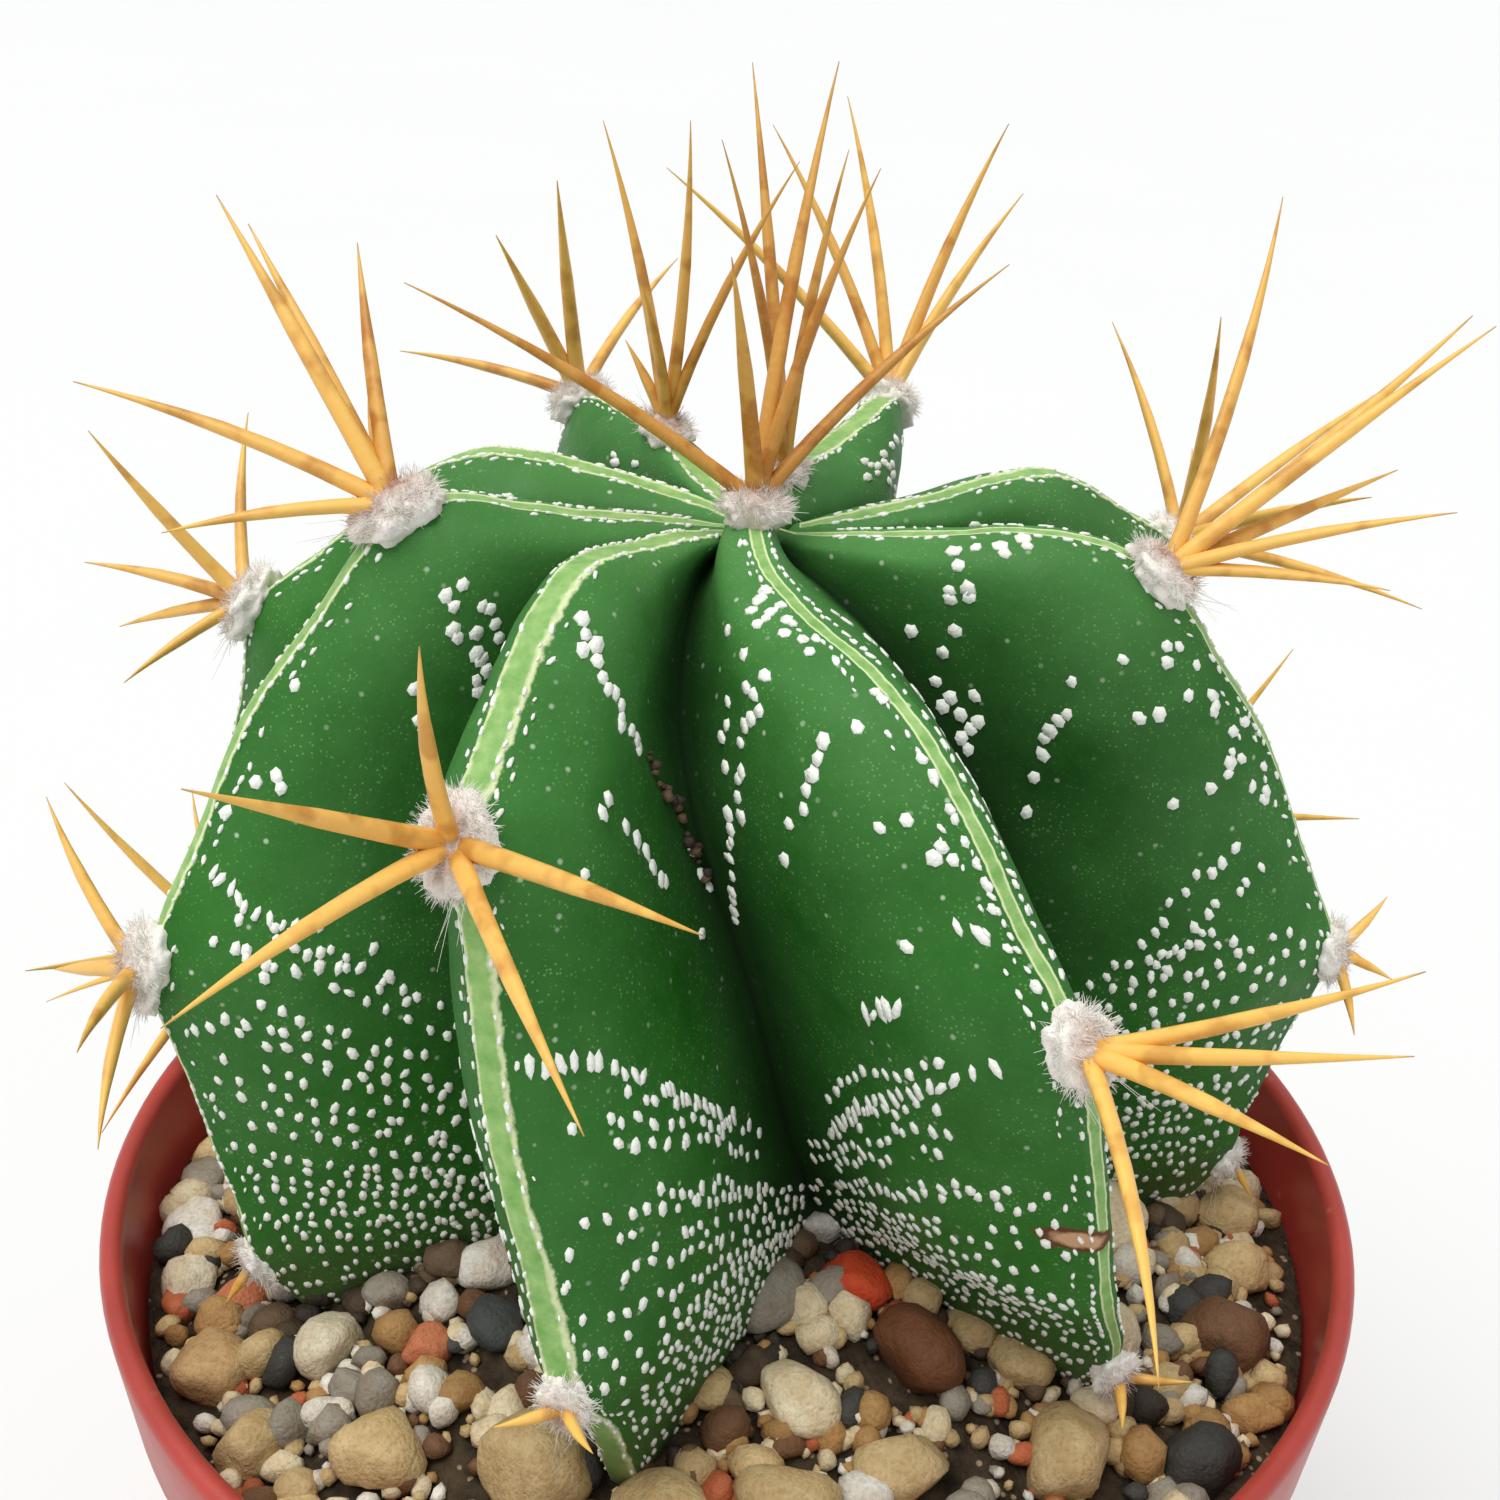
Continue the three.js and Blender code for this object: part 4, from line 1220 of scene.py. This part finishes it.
# Flecks set down one by one, by rib and side, as (across, t).
LONE_FLECKS = {
    ("A", 1): [
        (0.16, 0.725), (0.19, 0.715), (0.2, 0.705), (0.24, 0.71), (0.26, 0.7), (0.3, 0.69),
        (0.34, 0.683), (0.38, 0.68), (0.43, 0.672), (0.45, 0.662), (0.46, 0.656), (0.54, 0.65),
        (0.6, 0.64), (0.63, 0.63), (0.44, 0.6), (0.42, 0.59), (0.54, 0.57), (0.6, 0.555),
        (0.64, 0.54), (0.66, 0.525), (0.7, 0.51), (0.73, 0.505), (0.34, 0.55), (0.88, 0.44),
        (0.94, 0.51), (0.96, 0.485), (0.98, 0.47),
    ],
    ("B", -1): [
        (0.5, 0.77), (0.44, 0.74), (0.36, 0.72), (0.5, 0.7), (0.47, 0.695), (0.7, 0.675),
        (0.48, 0.68), (0.54, 0.67), (0.6, 0.66), (0.74, 0.65), (0.79, 0.635), (0.66, 0.64),
        (0.8, 0.605), (0.7, 0.61), (0.73, 0.6), (0.76, 0.58), (0.84, 0.555), (0.77, 0.56),
        (0.85, 0.54), (0.12, 0.84), (0.24, 0.81), (0.16, 0.81), (0.18, 0.825), (0.26, 0.79),
        (0.2, 0.8), (0.13, 0.8), (0.18, 0.78), (0.16, 0.755), (0.18, 0.68), (0.18, 0.61),
        (0.24, 0.6), (0.14, 0.59), (0.16, 0.58), (0.13, 0.58), (0.28, 0.665), (0.32, 0.65),
        (0.36, 0.635), (0.4, 0.62), (0.44, 0.6), (0.52, 0.58), (0.6, 0.54), (0.3, 0.5),
    ],
    ("D", -1): [
        (0.24, 0.81), (0.2, 0.8), (0.36, 0.785), (0.56, 0.755), (0.6, 0.745), (0.54, 0.74),
        (0.5, 0.75), (0.72, 0.71), (0.82, 0.69), (0.91, 0.66), (0.9, 0.64), (0.82, 0.64),
        (0.94, 0.63), (0.9, 0.62), (0.86, 0.61), (0.9, 0.6), (0.94, 0.59), (0.94, 0.575),
        (0.86, 0.72), (0.18, 0.785), (0.16, 0.77), (0.12, 0.78), (0.22, 0.775), (0.3, 0.66),
        (0.48, 0.65), (0.56, 0.62), (0.6, 0.612), (0.65, 0.6), (0.68, 0.59), (0.72, 0.57),
        (0.78, 0.54), (0.84, 0.5), (0.18, 0.66), (0.2, 0.65), (0.36, 0.61), (0.3, 0.61),
        (0.2, 0.62), (0.2, 0.54), (0.22, 0.53), (0.28, 0.52), (0.4, 0.51),
    ],
    ("C", 1): [
        (0.36, 0.71), (0.34, 0.7), (0.38, 0.695), (0.42, 0.68), (0.46, 0.7), (0.49, 0.7),
        (0.45, 0.675), (0.5, 0.68), (0.54, 0.69), (0.58, 0.68), (0.54, 0.665), (0.57, 0.66),
        (0.61, 0.65), (0.6, 0.64), (0.63, 0.63), (0.14, 0.61), (0.42, 0.63), (0.5, 0.6),
        (0.52, 0.59), (0.2, 0.53), (0.16, 0.52), (0.22, 0.52), (0.12, 0.49),
    ],
}
DEBRIS = [(0.7, 0.62), (0.8, 0.58), (0.88, 0.56), (0.94, 0.53), (0.97, 0.47)]
DEBRIS_SPACING = 0.42
DEBRIS_WANDER = 0.02
DEBRIS_SIZE = (0.2, 0.55)
DEBRIS_SQUASH = (1, 0.8, 0.7)
DEBRIS_FARTHEST = 0.99
DEBRIS_LIFT = 0.4               # share of a crumb's size


class Skin:
    """The finished stem, to set things on it by rib, across and t."""

    def __init__(self):
        mesh = bpy.data.objects["stem_skin"].data
        points = [vert.co / MM for vert in mesh.vertices]
        faces = [polygon.vertices for polygon in mesh.polygons]
        self.tree = BVHTree.FromPolygons(points, faces)

    def spot(self, rib, across, t):
        """Origin, direction across, direction up the face, and normal."""
        here = skin_point(rib, across, t)
        found, normal, _, _ = self.tree.find_nearest(here)
        ahead, behind = (skin_point(rib, across, t + step) for step in (FRAME_STEP, -FRAME_STEP))
        up = ahead - behind
        up = (up - normal * up.dot(normal)).normalized()
        return found, up.cross(normal).normalized(), up, normal


def fleck(heap, frame_at, length, width, heading, worn, rng):
    """A ragged oval tuft of felt, its long way turned from up the face by heading degrees."""
    bm, layer = heap.place()
    origin, right, up, normal = frame_at
    turn = Matrix.Rotation(math.radians(heading), 3, normal)
    place = basis(origin + normal * FLECK_LIFT, turn @ right, turn @ up, normal)
    made = bmesh.ops.create_cone(
        bm, cap_ends=True, cap_tris=False, segments=FLECK_SIDES, radius1=0.5,
        radius2=FLECK_TOP, depth=1.0,
    )
    for vert in made["verts"]:
        ragged = rng.uniform(*RAGGED)
        x, y, z = vert.co
        rise = FLECK_RISE * (1 if z > 0 else -1)
        vert.co = place @ Vector((x * width * ragged, y * length * ragged, rise))
        vert[layer] = worn


def chain(points, spacing, rng, skip, wander):
    """Places along a broken line of (across, t) points, about spacing millimetres apart."""
    placed = []
    for (a0, t0), (a1, t1) in zip(points, points[1:]):
        run = math.hypot((a1 - a0) * FACE_RUN, (t1 - t0) * CREST_RUN)
        count = max(1, round(run / spacing))
        for i in range(count):
            if rng.random() < skip:
                continue
            share = (i + rng.uniform(-ROW_UNEVEN, ROW_UNEVEN)) / count
            across = lerp(a0, a1, share) + rng.gauss(0, wander)
            t = lerp(t0, t1, share) + rng.gauss(0, wander * ROW_WANDER_UP)
            placed.append((across, t))
    return placed


def fan_rows(side, rng):
    """Arcs of flecks over the lower part of a face, from its crest down into the furrow."""
    placed = []
    stray, stray_up = FAN_STRAY
    farthest, lowest = FAN_EDGE
    for row in range(FAN_ROWS):
        share = row / (FAN_ROWS - 1)
        at_crest = lerp(FAN_TOP, FAN_FOOT, share) + rng.uniform(-FAN_UNEVEN, FAN_UNEVEN)
        fall = lerp(FAN_FALL, 0.0, clamp(share * 1.6 - 0.6))
        start, end = rng.uniform(*FAN_START), rng.uniform(*FAN_END)
        if share < LOOSE_ROWS:
            start, end = start + rng.uniform(0, LOOSE_START), end - rng.uniform(0.0, LOOSE_END)
        pitch = lerp(*FAN_PITCH, share) / FACE_RUN
        skip = rng.uniform(*FAN_GAPS)
        x = start
        while x < end:
            x += pitch * rng.uniform(*FAN_STEP_VARIES) * lerp(*FAN_CLOSER, x)
            if rng.random() < skip:
                continue
            t = at_crest - fall * x * x + rng.gauss(0, stray_up)
            worn = clamp((share - 0.45) * 0.7 + (x - 0.75) * 1.2 + rng.uniform(-0.25, 0.15))
            size = lerp(*FAN_SIZE, max(share, 0.3 - x, x - 0.55)) * rng.uniform(*FAN_SIZE_VARIES)
            if t > lowest and x < farthest:
                placed.append((side * (x + rng.gauss(0, stray)), t, size, ROW_BREADTH, worn))
    return placed


def short_row(rng):
    """A short row of flecks somewhere over the fans."""
    a, t = rng.uniform(0.25, 0.6), rng.uniform(0.5, 0.8)
    end = (a + rng.uniform(-0.1, 0.2), t - rng.uniform(0.03, 0.1))
    return [(a, t), end], rng.uniform(1.1, 1.7), 1.1, 0.015


def face_flecks(rib, side, rng):
    """All flecks of one face as (across, t, size, breadth, worn)."""
    placed = fan_rows(side, rng)
    lines = FACE_CHAINS.get((rib, side))
    if lines is None:
        lines = [PLAIN_ROW, *(short_row(rng) for _ in range(rng.randint(*SHORT_ROWS)))]
    for points, spacing, size, wander in lines:
        bars = size > BAR_SIZE
        breadth = BAR_BREADTH if bars else ROW_BREADTH
        for a, t in chain(points, spacing, rng, 0.0 if bars else ROW_GAPS, wander):
            worn = clamp((t - 0.68) * 1.5 + rng.uniform(-0.25, 0.1))
            placed.append((side * a, t, size * rng.uniform(0.8, 1.2), breadth, worn))
    for a, t in LONE_FLECKS.get((rib, side), ()):
        worn = clamp((t - 0.72) * 2 + rng.uniform(-0.3, 0.1))
        placed.append((side * a, t, rng.uniform(*LONE_SIZE), LONE_BREADTH, worn))
    return placed


def crest_flecks(rng):
    """Small flecks in rows along both sides of a crest, as (across, t, length, worn)."""
    t_foot, t_crown = CREST_REACH
    patchy, closeness = CREST_PATCHES
    for row, reach, skip in CREST_ROWS:
        t = t_foot
        while t < t_crown:
            t += rng.uniform(*CREST_STEP)
            if rng.random() < skip + patchy * noise.noise(Vector((t * closeness, row, 0))):
                continue
            across = reach + rng.gauss(0, CREST_STRAY)
            worn = clamp(0.35 - t * 2 + (t - 0.7) * 0.8 + rng.uniform(-0.1, 0.2))
            yield across, t, rng.uniform(*CREST_LENGTH), worn


def lay_debris(heap, skin, rng):
    """Crumbs of soil caught in the front furrow."""
    for across, t in chain(DEBRIS, DEBRIS_SPACING, rng, ROW_GAPS, DEBRIS_WANDER):
        spot, _, _, normal = skin.spot("A", min(across, DEBRIS_FARTHEST), t)
        size = rng.uniform(*DEBRIS_SIZE)
        turn = any_turn(rng)
        tone = rng.choice(DIRT_TONES)
        centre = spot + normal * size * DEBRIS_LIFT
        stone(heap, tone, centre, size, DEBRIS_SQUASH, turn, rng, 1)


class CACTUS_OT_flecks(bpy.types.Operator):
    """Set the white felt flecks on the stem, and the debris in its front furrow"""

    bl_idname = "cactus.flecks"
    bl_label = "Flecks"

    def execute(self, context):
        look = context.scene.cactus_stem
        skin, felt = Skin(), felt_finish(look)
        rng = random.Random(look.seed)
        heap = Heap("worn")
        for rib in RIB_NAMES:
            for side in (-1, 1):
                for across, t, size, breadth, worn in face_flecks(rib, side, rng):
                    spot, length = skin.spot(rib, across, t), look.fleck / MM * size
                    swing = rng.gauss(0, FLECK_SWING)
                    fleck(heap, spot, length, length * breadth, swing, worn, rng)
        add_piece("face_flecks", heap.gathered(), felt)
        heap = Heap("worn")
        for rib in RIB_NAMES:
            for across, t, length, worn in crest_flecks(rng):
                spot, swing = skin.spot(rib, across, t), rng.gauss(0, CREST_SWING)
                fleck(heap, spot, length, length * CREST_BREADTH, swing, worn, rng)
        add_piece("crest_flecks", heap.gathered(), felt)
        heap = Heap("tone", "float_color")
        lay_debris(heap, skin, rng)
        add_piece("debris", heap.gathered(), bpy.data.materials["gravel_stone"])
        return {"FINISHED"}


# ---- Areoles ----

SPINE_SIDES = 8
SPINE_STATIONS = [0.0, 0.04, 0.12, 0.25, 0.4, 0.55, 0.68, 0.8, 0.9, 0.96, 1.0]
SPINE_SEED = 5
WAIST, WAIST_WIDTH = 0.55, 0.72     # a place along a spine, and its width there to its widest
TIP_WIDTH = 0.05
SPINE_WARP = 0.012                  # most that a spine bends sideways, to its length
AGES_FROM, AGES_BY = 0.5, 1.6       # t from which spines and wool are darker, and how fast
AGE_VARIES = 0.25
PAD_DETAIL = 4
PAD_LUMP = 0.26
LUMP_SCALE = 1.9
LUMP_FRACTAL = (0.7, 2.0, 3)
PAD_HEART = (1.5, 1.7)              # tan of a pad's middle, and how fast it fades outwards
HAIR_HEART = (1.2, 1.6)             # the same for the hairs
HAIR_TAN = 0.9
OLD_PAD, OLD_HAIR = 0.36, 0.32      # tan that old pads and their hairs have all over
HAIR_ROOT, HAIR_TIP = 0.026, 0.009
HAIR_SUNK = 0.92                    # share of the pad's size at which its hairs start
HAIR_SCATTER, HAIR_DRIFT = 0.6, 1.3
HAIR_VARIES = (0.3, 1.0)
STRAY_LENGTH = (1.8, 3.6)


def spine_width(share):
    """Width along a dagger spine, as a share of its widest."""
    if share < WAIST:
        return lerp(1.0, WAIST_WIDTH, share / WAIST)
    return lerp(WAIST_WIDTH, TIP_WIDTH, (share - WAIST) / (1 - WAIST))


def spine(bm, layers, place, pad, aim, age, rng):
    """One spine: a ring extruded from station to station along its bent axis."""
    origin, right, rise, outward = place
    clock, splay, length = aim
    turn, lean = math.radians(clock), math.radians(splay)
    sideways = rise * math.cos(turn) + right * math.sin(turn)
    axis = outward * math.cos(lean) + sideways * math.sin(lean)
    flat = outward.cross(axis).normalized()
    deep = axis.cross(flat).normalized()
    root = origin + outward * PAD[2] * pad * SPINE_ROOT
    thin = min(1.0, lerp(SMALL_PAD_SPINE, 1.0, pad))
    warp = rng.uniform(-SPINE_WARP, SPINE_WARP)
    ring = bmesh.ops.create_circle(bm, cap_ends=True, segments=SPINE_SIDES, radius=0.5)["verts"]
    corners = [vert.co.copy() for vert in ring]
    edges = list(dict.fromkeys(edge for vert in ring for edge in vert.link_edges))
    for number, share in enumerate(SPINE_STATIONS):
        if number:
            made = bmesh.ops.extrude_edge_only(bm, edges=edges)["geom"]
            ring = [item for item in made if isinstance(item, bmesh.types.BMVert)]
            edges = [item for item in made if isinstance(item, bmesh.types.BMEdge)]
        centre = root + axis * length * share
        centre += deep * SPINE_BEND * length * 4 * share * (1 - share)
        centre += flat * warp * length * 4 * share * (1 - share)
        width = spine_width(share) * thin
        for vert, corner in zip(ring, corners):
            x = corner.x * width * SPINE_WIDTH
            y = corner.y * width * SPINE_THICKNESS
            vert.co = centre + flat * x + deep * y
            vert[layers["along"]] = share
            vert[layers["age"]] = age
    bmesh.ops.contextual_create(bm, geom=edges)


def over_pad(way, pad, share=1.0):
    """Stretches a way out of a pad's middle to the pad's size, or to a share of it."""
    return Vector([c * size * pad * share for c, size in zip(way, PAD)])


def wool_pad(heap, place, pad, ageing):
    """The lumpy body of a pad, tan in its middle."""
    bm, layer = heap.place()
    made = bmesh.ops.create_icosphere(bm, subdivisions=PAD_DETAIL, radius=1.0)["verts"]
    axes, origin = basis(*place), place[0]
    tan, fade = PAD_HEART
    for vert in made:
        lump = 1 + PAD_LUMP * noise.fractal(vert.co * LUMP_SCALE + origin, *LUMP_FRACTAL)
        core = clamp(tan - fade * math.hypot(vert.co.x, vert.co.y * 0.8))
        vert[layer] = core * lerp(0.8, 1.0, ageing) + OLD_PAD * ageing
        vert.co = axes @ over_pad(vert.co, pad, lump)


def wool_hair(heap, root, way, length, heart):
    """One tapered hair from root along way."""
    bm, layer = heap.place()
    turn = way.to_track_quat("Z", "Y").to_matrix().to_4x4()
    place = Matrix.Translation(root + way * length / 2) @ turn
    made = bmesh.ops.create_cone(
        bm, cap_ends=False, segments=3, radius1=HAIR_ROOT, radius2=HAIR_TIP, depth=length,
        matrix=place,
    )
    for vert in made["verts"]:
        vert[layer] = heart


def wool(place, pad, ageing, look, rng):
    """A woolly pad: its lumpy body, short hairs all over it and a few long ones below."""
    _, right, rise, outward = place
    heap = Heap("heart")
    wool_pad(heap, place, pad, ageing)
    axes = basis(*place)
    tan, fade = HAIR_HEART
    for _ in range(round(look.hairs * pad * pad)):
        way = Vector((rng.gauss(0, 1), rng.gauss(0, 1), abs(rng.gauss(0, 0.9)) + 0.05)).normalized()
        root = axes @ over_pad(way, pad, HAIR_SUNK)
        drift = Vector([rng.gauss(0, HAIR_SCATTER) for _ in range(3)])
        lean = right * way.x + rise * way.y + outward * way.z * 0.6 + drift * HAIR_DRIFT
        heart = clamp(tan - fade * math.hypot(way.x, way.y)) * HAIR_TAN + OLD_HAIR * ageing
        length = look.hair / MM * rng.uniform(*HAIR_VARIES) * (0.6 + 0.4 * pad)
        wool_hair(heap, root, lean.normalized(), length, heart)
    for _ in range(look.strays):
        way = Vector((rng.gauss(0, 0.5), -1, rng.uniform(0.1, 0.5))).normalized()
        root = axes @ over_pad(way, pad)
        lean = right * rng.gauss(0, 0.5) - rise + outward * rng.uniform(0.0, 0.4)
        wool_hair(heap, root, lean.normalized(), rng.uniform(*STRAY_LENGTH), 0.0)
    return heap.gathered()


class CACTUS_OT_areoles(bpy.types.Operator):
    """Make every areole's wool and its spines"""

    bl_idname = "cactus.areoles"
    bl_label = "Areoles"

    def execute(self, context):
        look = context.scene.cactus_areole
        horn, cream = spine_finish(look), wool_finish(look)
        rng = random.Random(SPINE_SEED)
        for rib, (_, _, _, areoles) in RIBS.items():
            for number, (t, pad, spines) in areoles.items():
                place = crest_frame(rib, t)
                bm = bmesh.new()
                layers = {name: bm.verts.layers.float.new(name) for name in ("along", "age")}
                ageing = clamp((t - AGES_FROM) * AGES_BY)
                for aim in spines:
                    age = clamp(ageing + rng.uniform(-AGE_VARIES, AGE_VARIES))
                    spine(bm, layers, place, pad, aim, age, rng)
                node = f"areole_{rib}{number}"
                add_piece(f"spines_{rib}{number}", bm, horn, [node])
                tuft = wool(place, pad, ageing, look, rng)
                add_piece(f"wool_{rib}{number}", tuft, cream)
        return {"FINISHED"}


# ---- Stage ----

CAMERA_AT = Vector((0.000218, -0.1011, 0.157))   # metres
CAMERA_DROP = 26.84     # degrees that the camera looks down
CAMERA_ROLL = 2.163
CAMERA_LENS = 43.2
CAMERA_SENSOR = 36
CAMERA_NEAR = 0.005
FLOOR_REACH = 8.0       # metres
FLOOR_SIDES = 64
AIR_TINT = (0.93, 0.97, 1.0, 1.0)
AIR_LIGHT = 0.58
LAMP_WAY = Vector((0.25, 0.2, -1.0))
LAMP_SPREAD = 50.0      # degrees
LAMP_LIGHT = 2.5
LAMP_TINT = (1.0, 0.99, 0.96)


def add_lamp():
    """A broad soft light from above, as from a large studio panel."""
    light = bpy.data.lights.new("over", "SUN")
    light.angle = math.radians(LAMP_SPREAD)
    light.energy = LAMP_LIGHT
    light.color = LAMP_TINT
    lamp = add_object("over", light)
    lamp.rotation_euler = LAMP_WAY.to_track_quat("-Z", "Y").to_euler()


def add_air():
    """Even light from all sides."""
    world = bpy.data.worlds.new("studio")
    world.use_nodes = True
    inputs = world.node_tree.nodes["Background"].inputs
    inputs["Color"].default_value = AIR_TINT
    inputs["Strength"].default_value = AIR_LIGHT
    bpy.context.scene.world = world


def add_camera():
    drop, roll = math.radians(CAMERA_DROP), math.radians(CAMERA_ROLL)
    ahead = Vector((0, math.cos(drop), -math.sin(drop)))
    side = Vector((1, 0, 0))
    above = side.cross(ahead)
    right = side * math.cos(roll) + above * math.sin(roll)
    up = above * math.cos(roll) - side * math.sin(roll)
    camera = bpy.data.cameras.new("camera")
    camera.lens = CAMERA_LENS
    camera.sensor_width = CAMERA_SENSOR
    camera.clip_start = CAMERA_NEAR
    holder = add_object("camera", camera)
    holder.matrix_world = basis(CAMERA_AT, right, up, -ahead)
    bpy.context.scene.camera = holder


class CACTUS_OT_stage(bpy.types.Operator):
    """Lay the pale floor and set the soft studio light and the camera"""

    bl_idname = "cactus.stage"
    bl_label = "Stage"

    def execute(self, context):
        bm = bmesh.new()
        bmesh.ops.create_circle(bm, cap_ends=True, segments=FLOOR_SIDES, radius=FLOOR_REACH)
        ground = add_object("floor", settled("floor", bm))
        ground.data.materials.append(floor_finish(context.scene.cactus_pot))
        add_air()
        add_lamp()
        add_camera()
        context.scene.view_settings.view_transform = "Standard"
        return {"FINISHED"}


# ---- Sidebar and start ----


class CACTUS_PT_sidebar(bpy.types.Panel):
    """Shows the cactus's settings and the buttons that build its pieces"""

    bl_idname = "CACTUS_PT_sidebar"
    bl_label = "Potted Cactus"
    bl_space_type = "VIEW_3D"
    bl_region_type = "UI"
    bl_category = "Cactus"

    def draw(self, context):
        scene = context.scene
        for settings in (scene.cactus_stem, scene.cactus_areole, scene.cactus_pot):
            box = self.layout.box()
            for name in settings.__annotations__:
                box.prop(settings, name)
        for operator in OPERATORS:
            self.layout.operator(operator.bl_idname)


OPERATORS = (
    CACTUS_OT_pot,
    CACTUS_OT_soil,
    CACTUS_OT_gravel,
    CACTUS_OT_stem,
    CACTUS_OT_flecks,
    CACTUS_OT_areoles,
    CACTUS_OT_stage,
)
SETTINGS = {
    "cactus_stem": CactusStemSettings,
    "cactus_areole": CactusAreoleSettings,
    "cactus_pot": CactusPotSettings,
}


def register():
    for name, settings in SETTINGS.items():
        bpy.utils.register_class(settings)
        setattr(bpy.types.Scene, name, PointerProperty(type=settings))
    for operator in OPERATORS:
        bpy.utils.register_class(operator)
    bpy.utils.register_class(CACTUS_PT_sidebar)


def unregister():
    bpy.utils.unregister_class(CACTUS_PT_sidebar)
    for operator in reversed(OPERATORS):
        bpy.utils.unregister_class(operator)
    for name, settings in SETTINGS.items():
        delattr(bpy.types.Scene, name)
        bpy.utils.unregister_class(settings)


def main():
    register()
    for operator in OPERATORS:
        group, name = operator.bl_idname.split(".")
        getattr(getattr(bpy.ops, group), name)()


if __name__ == "__main__":
    main()
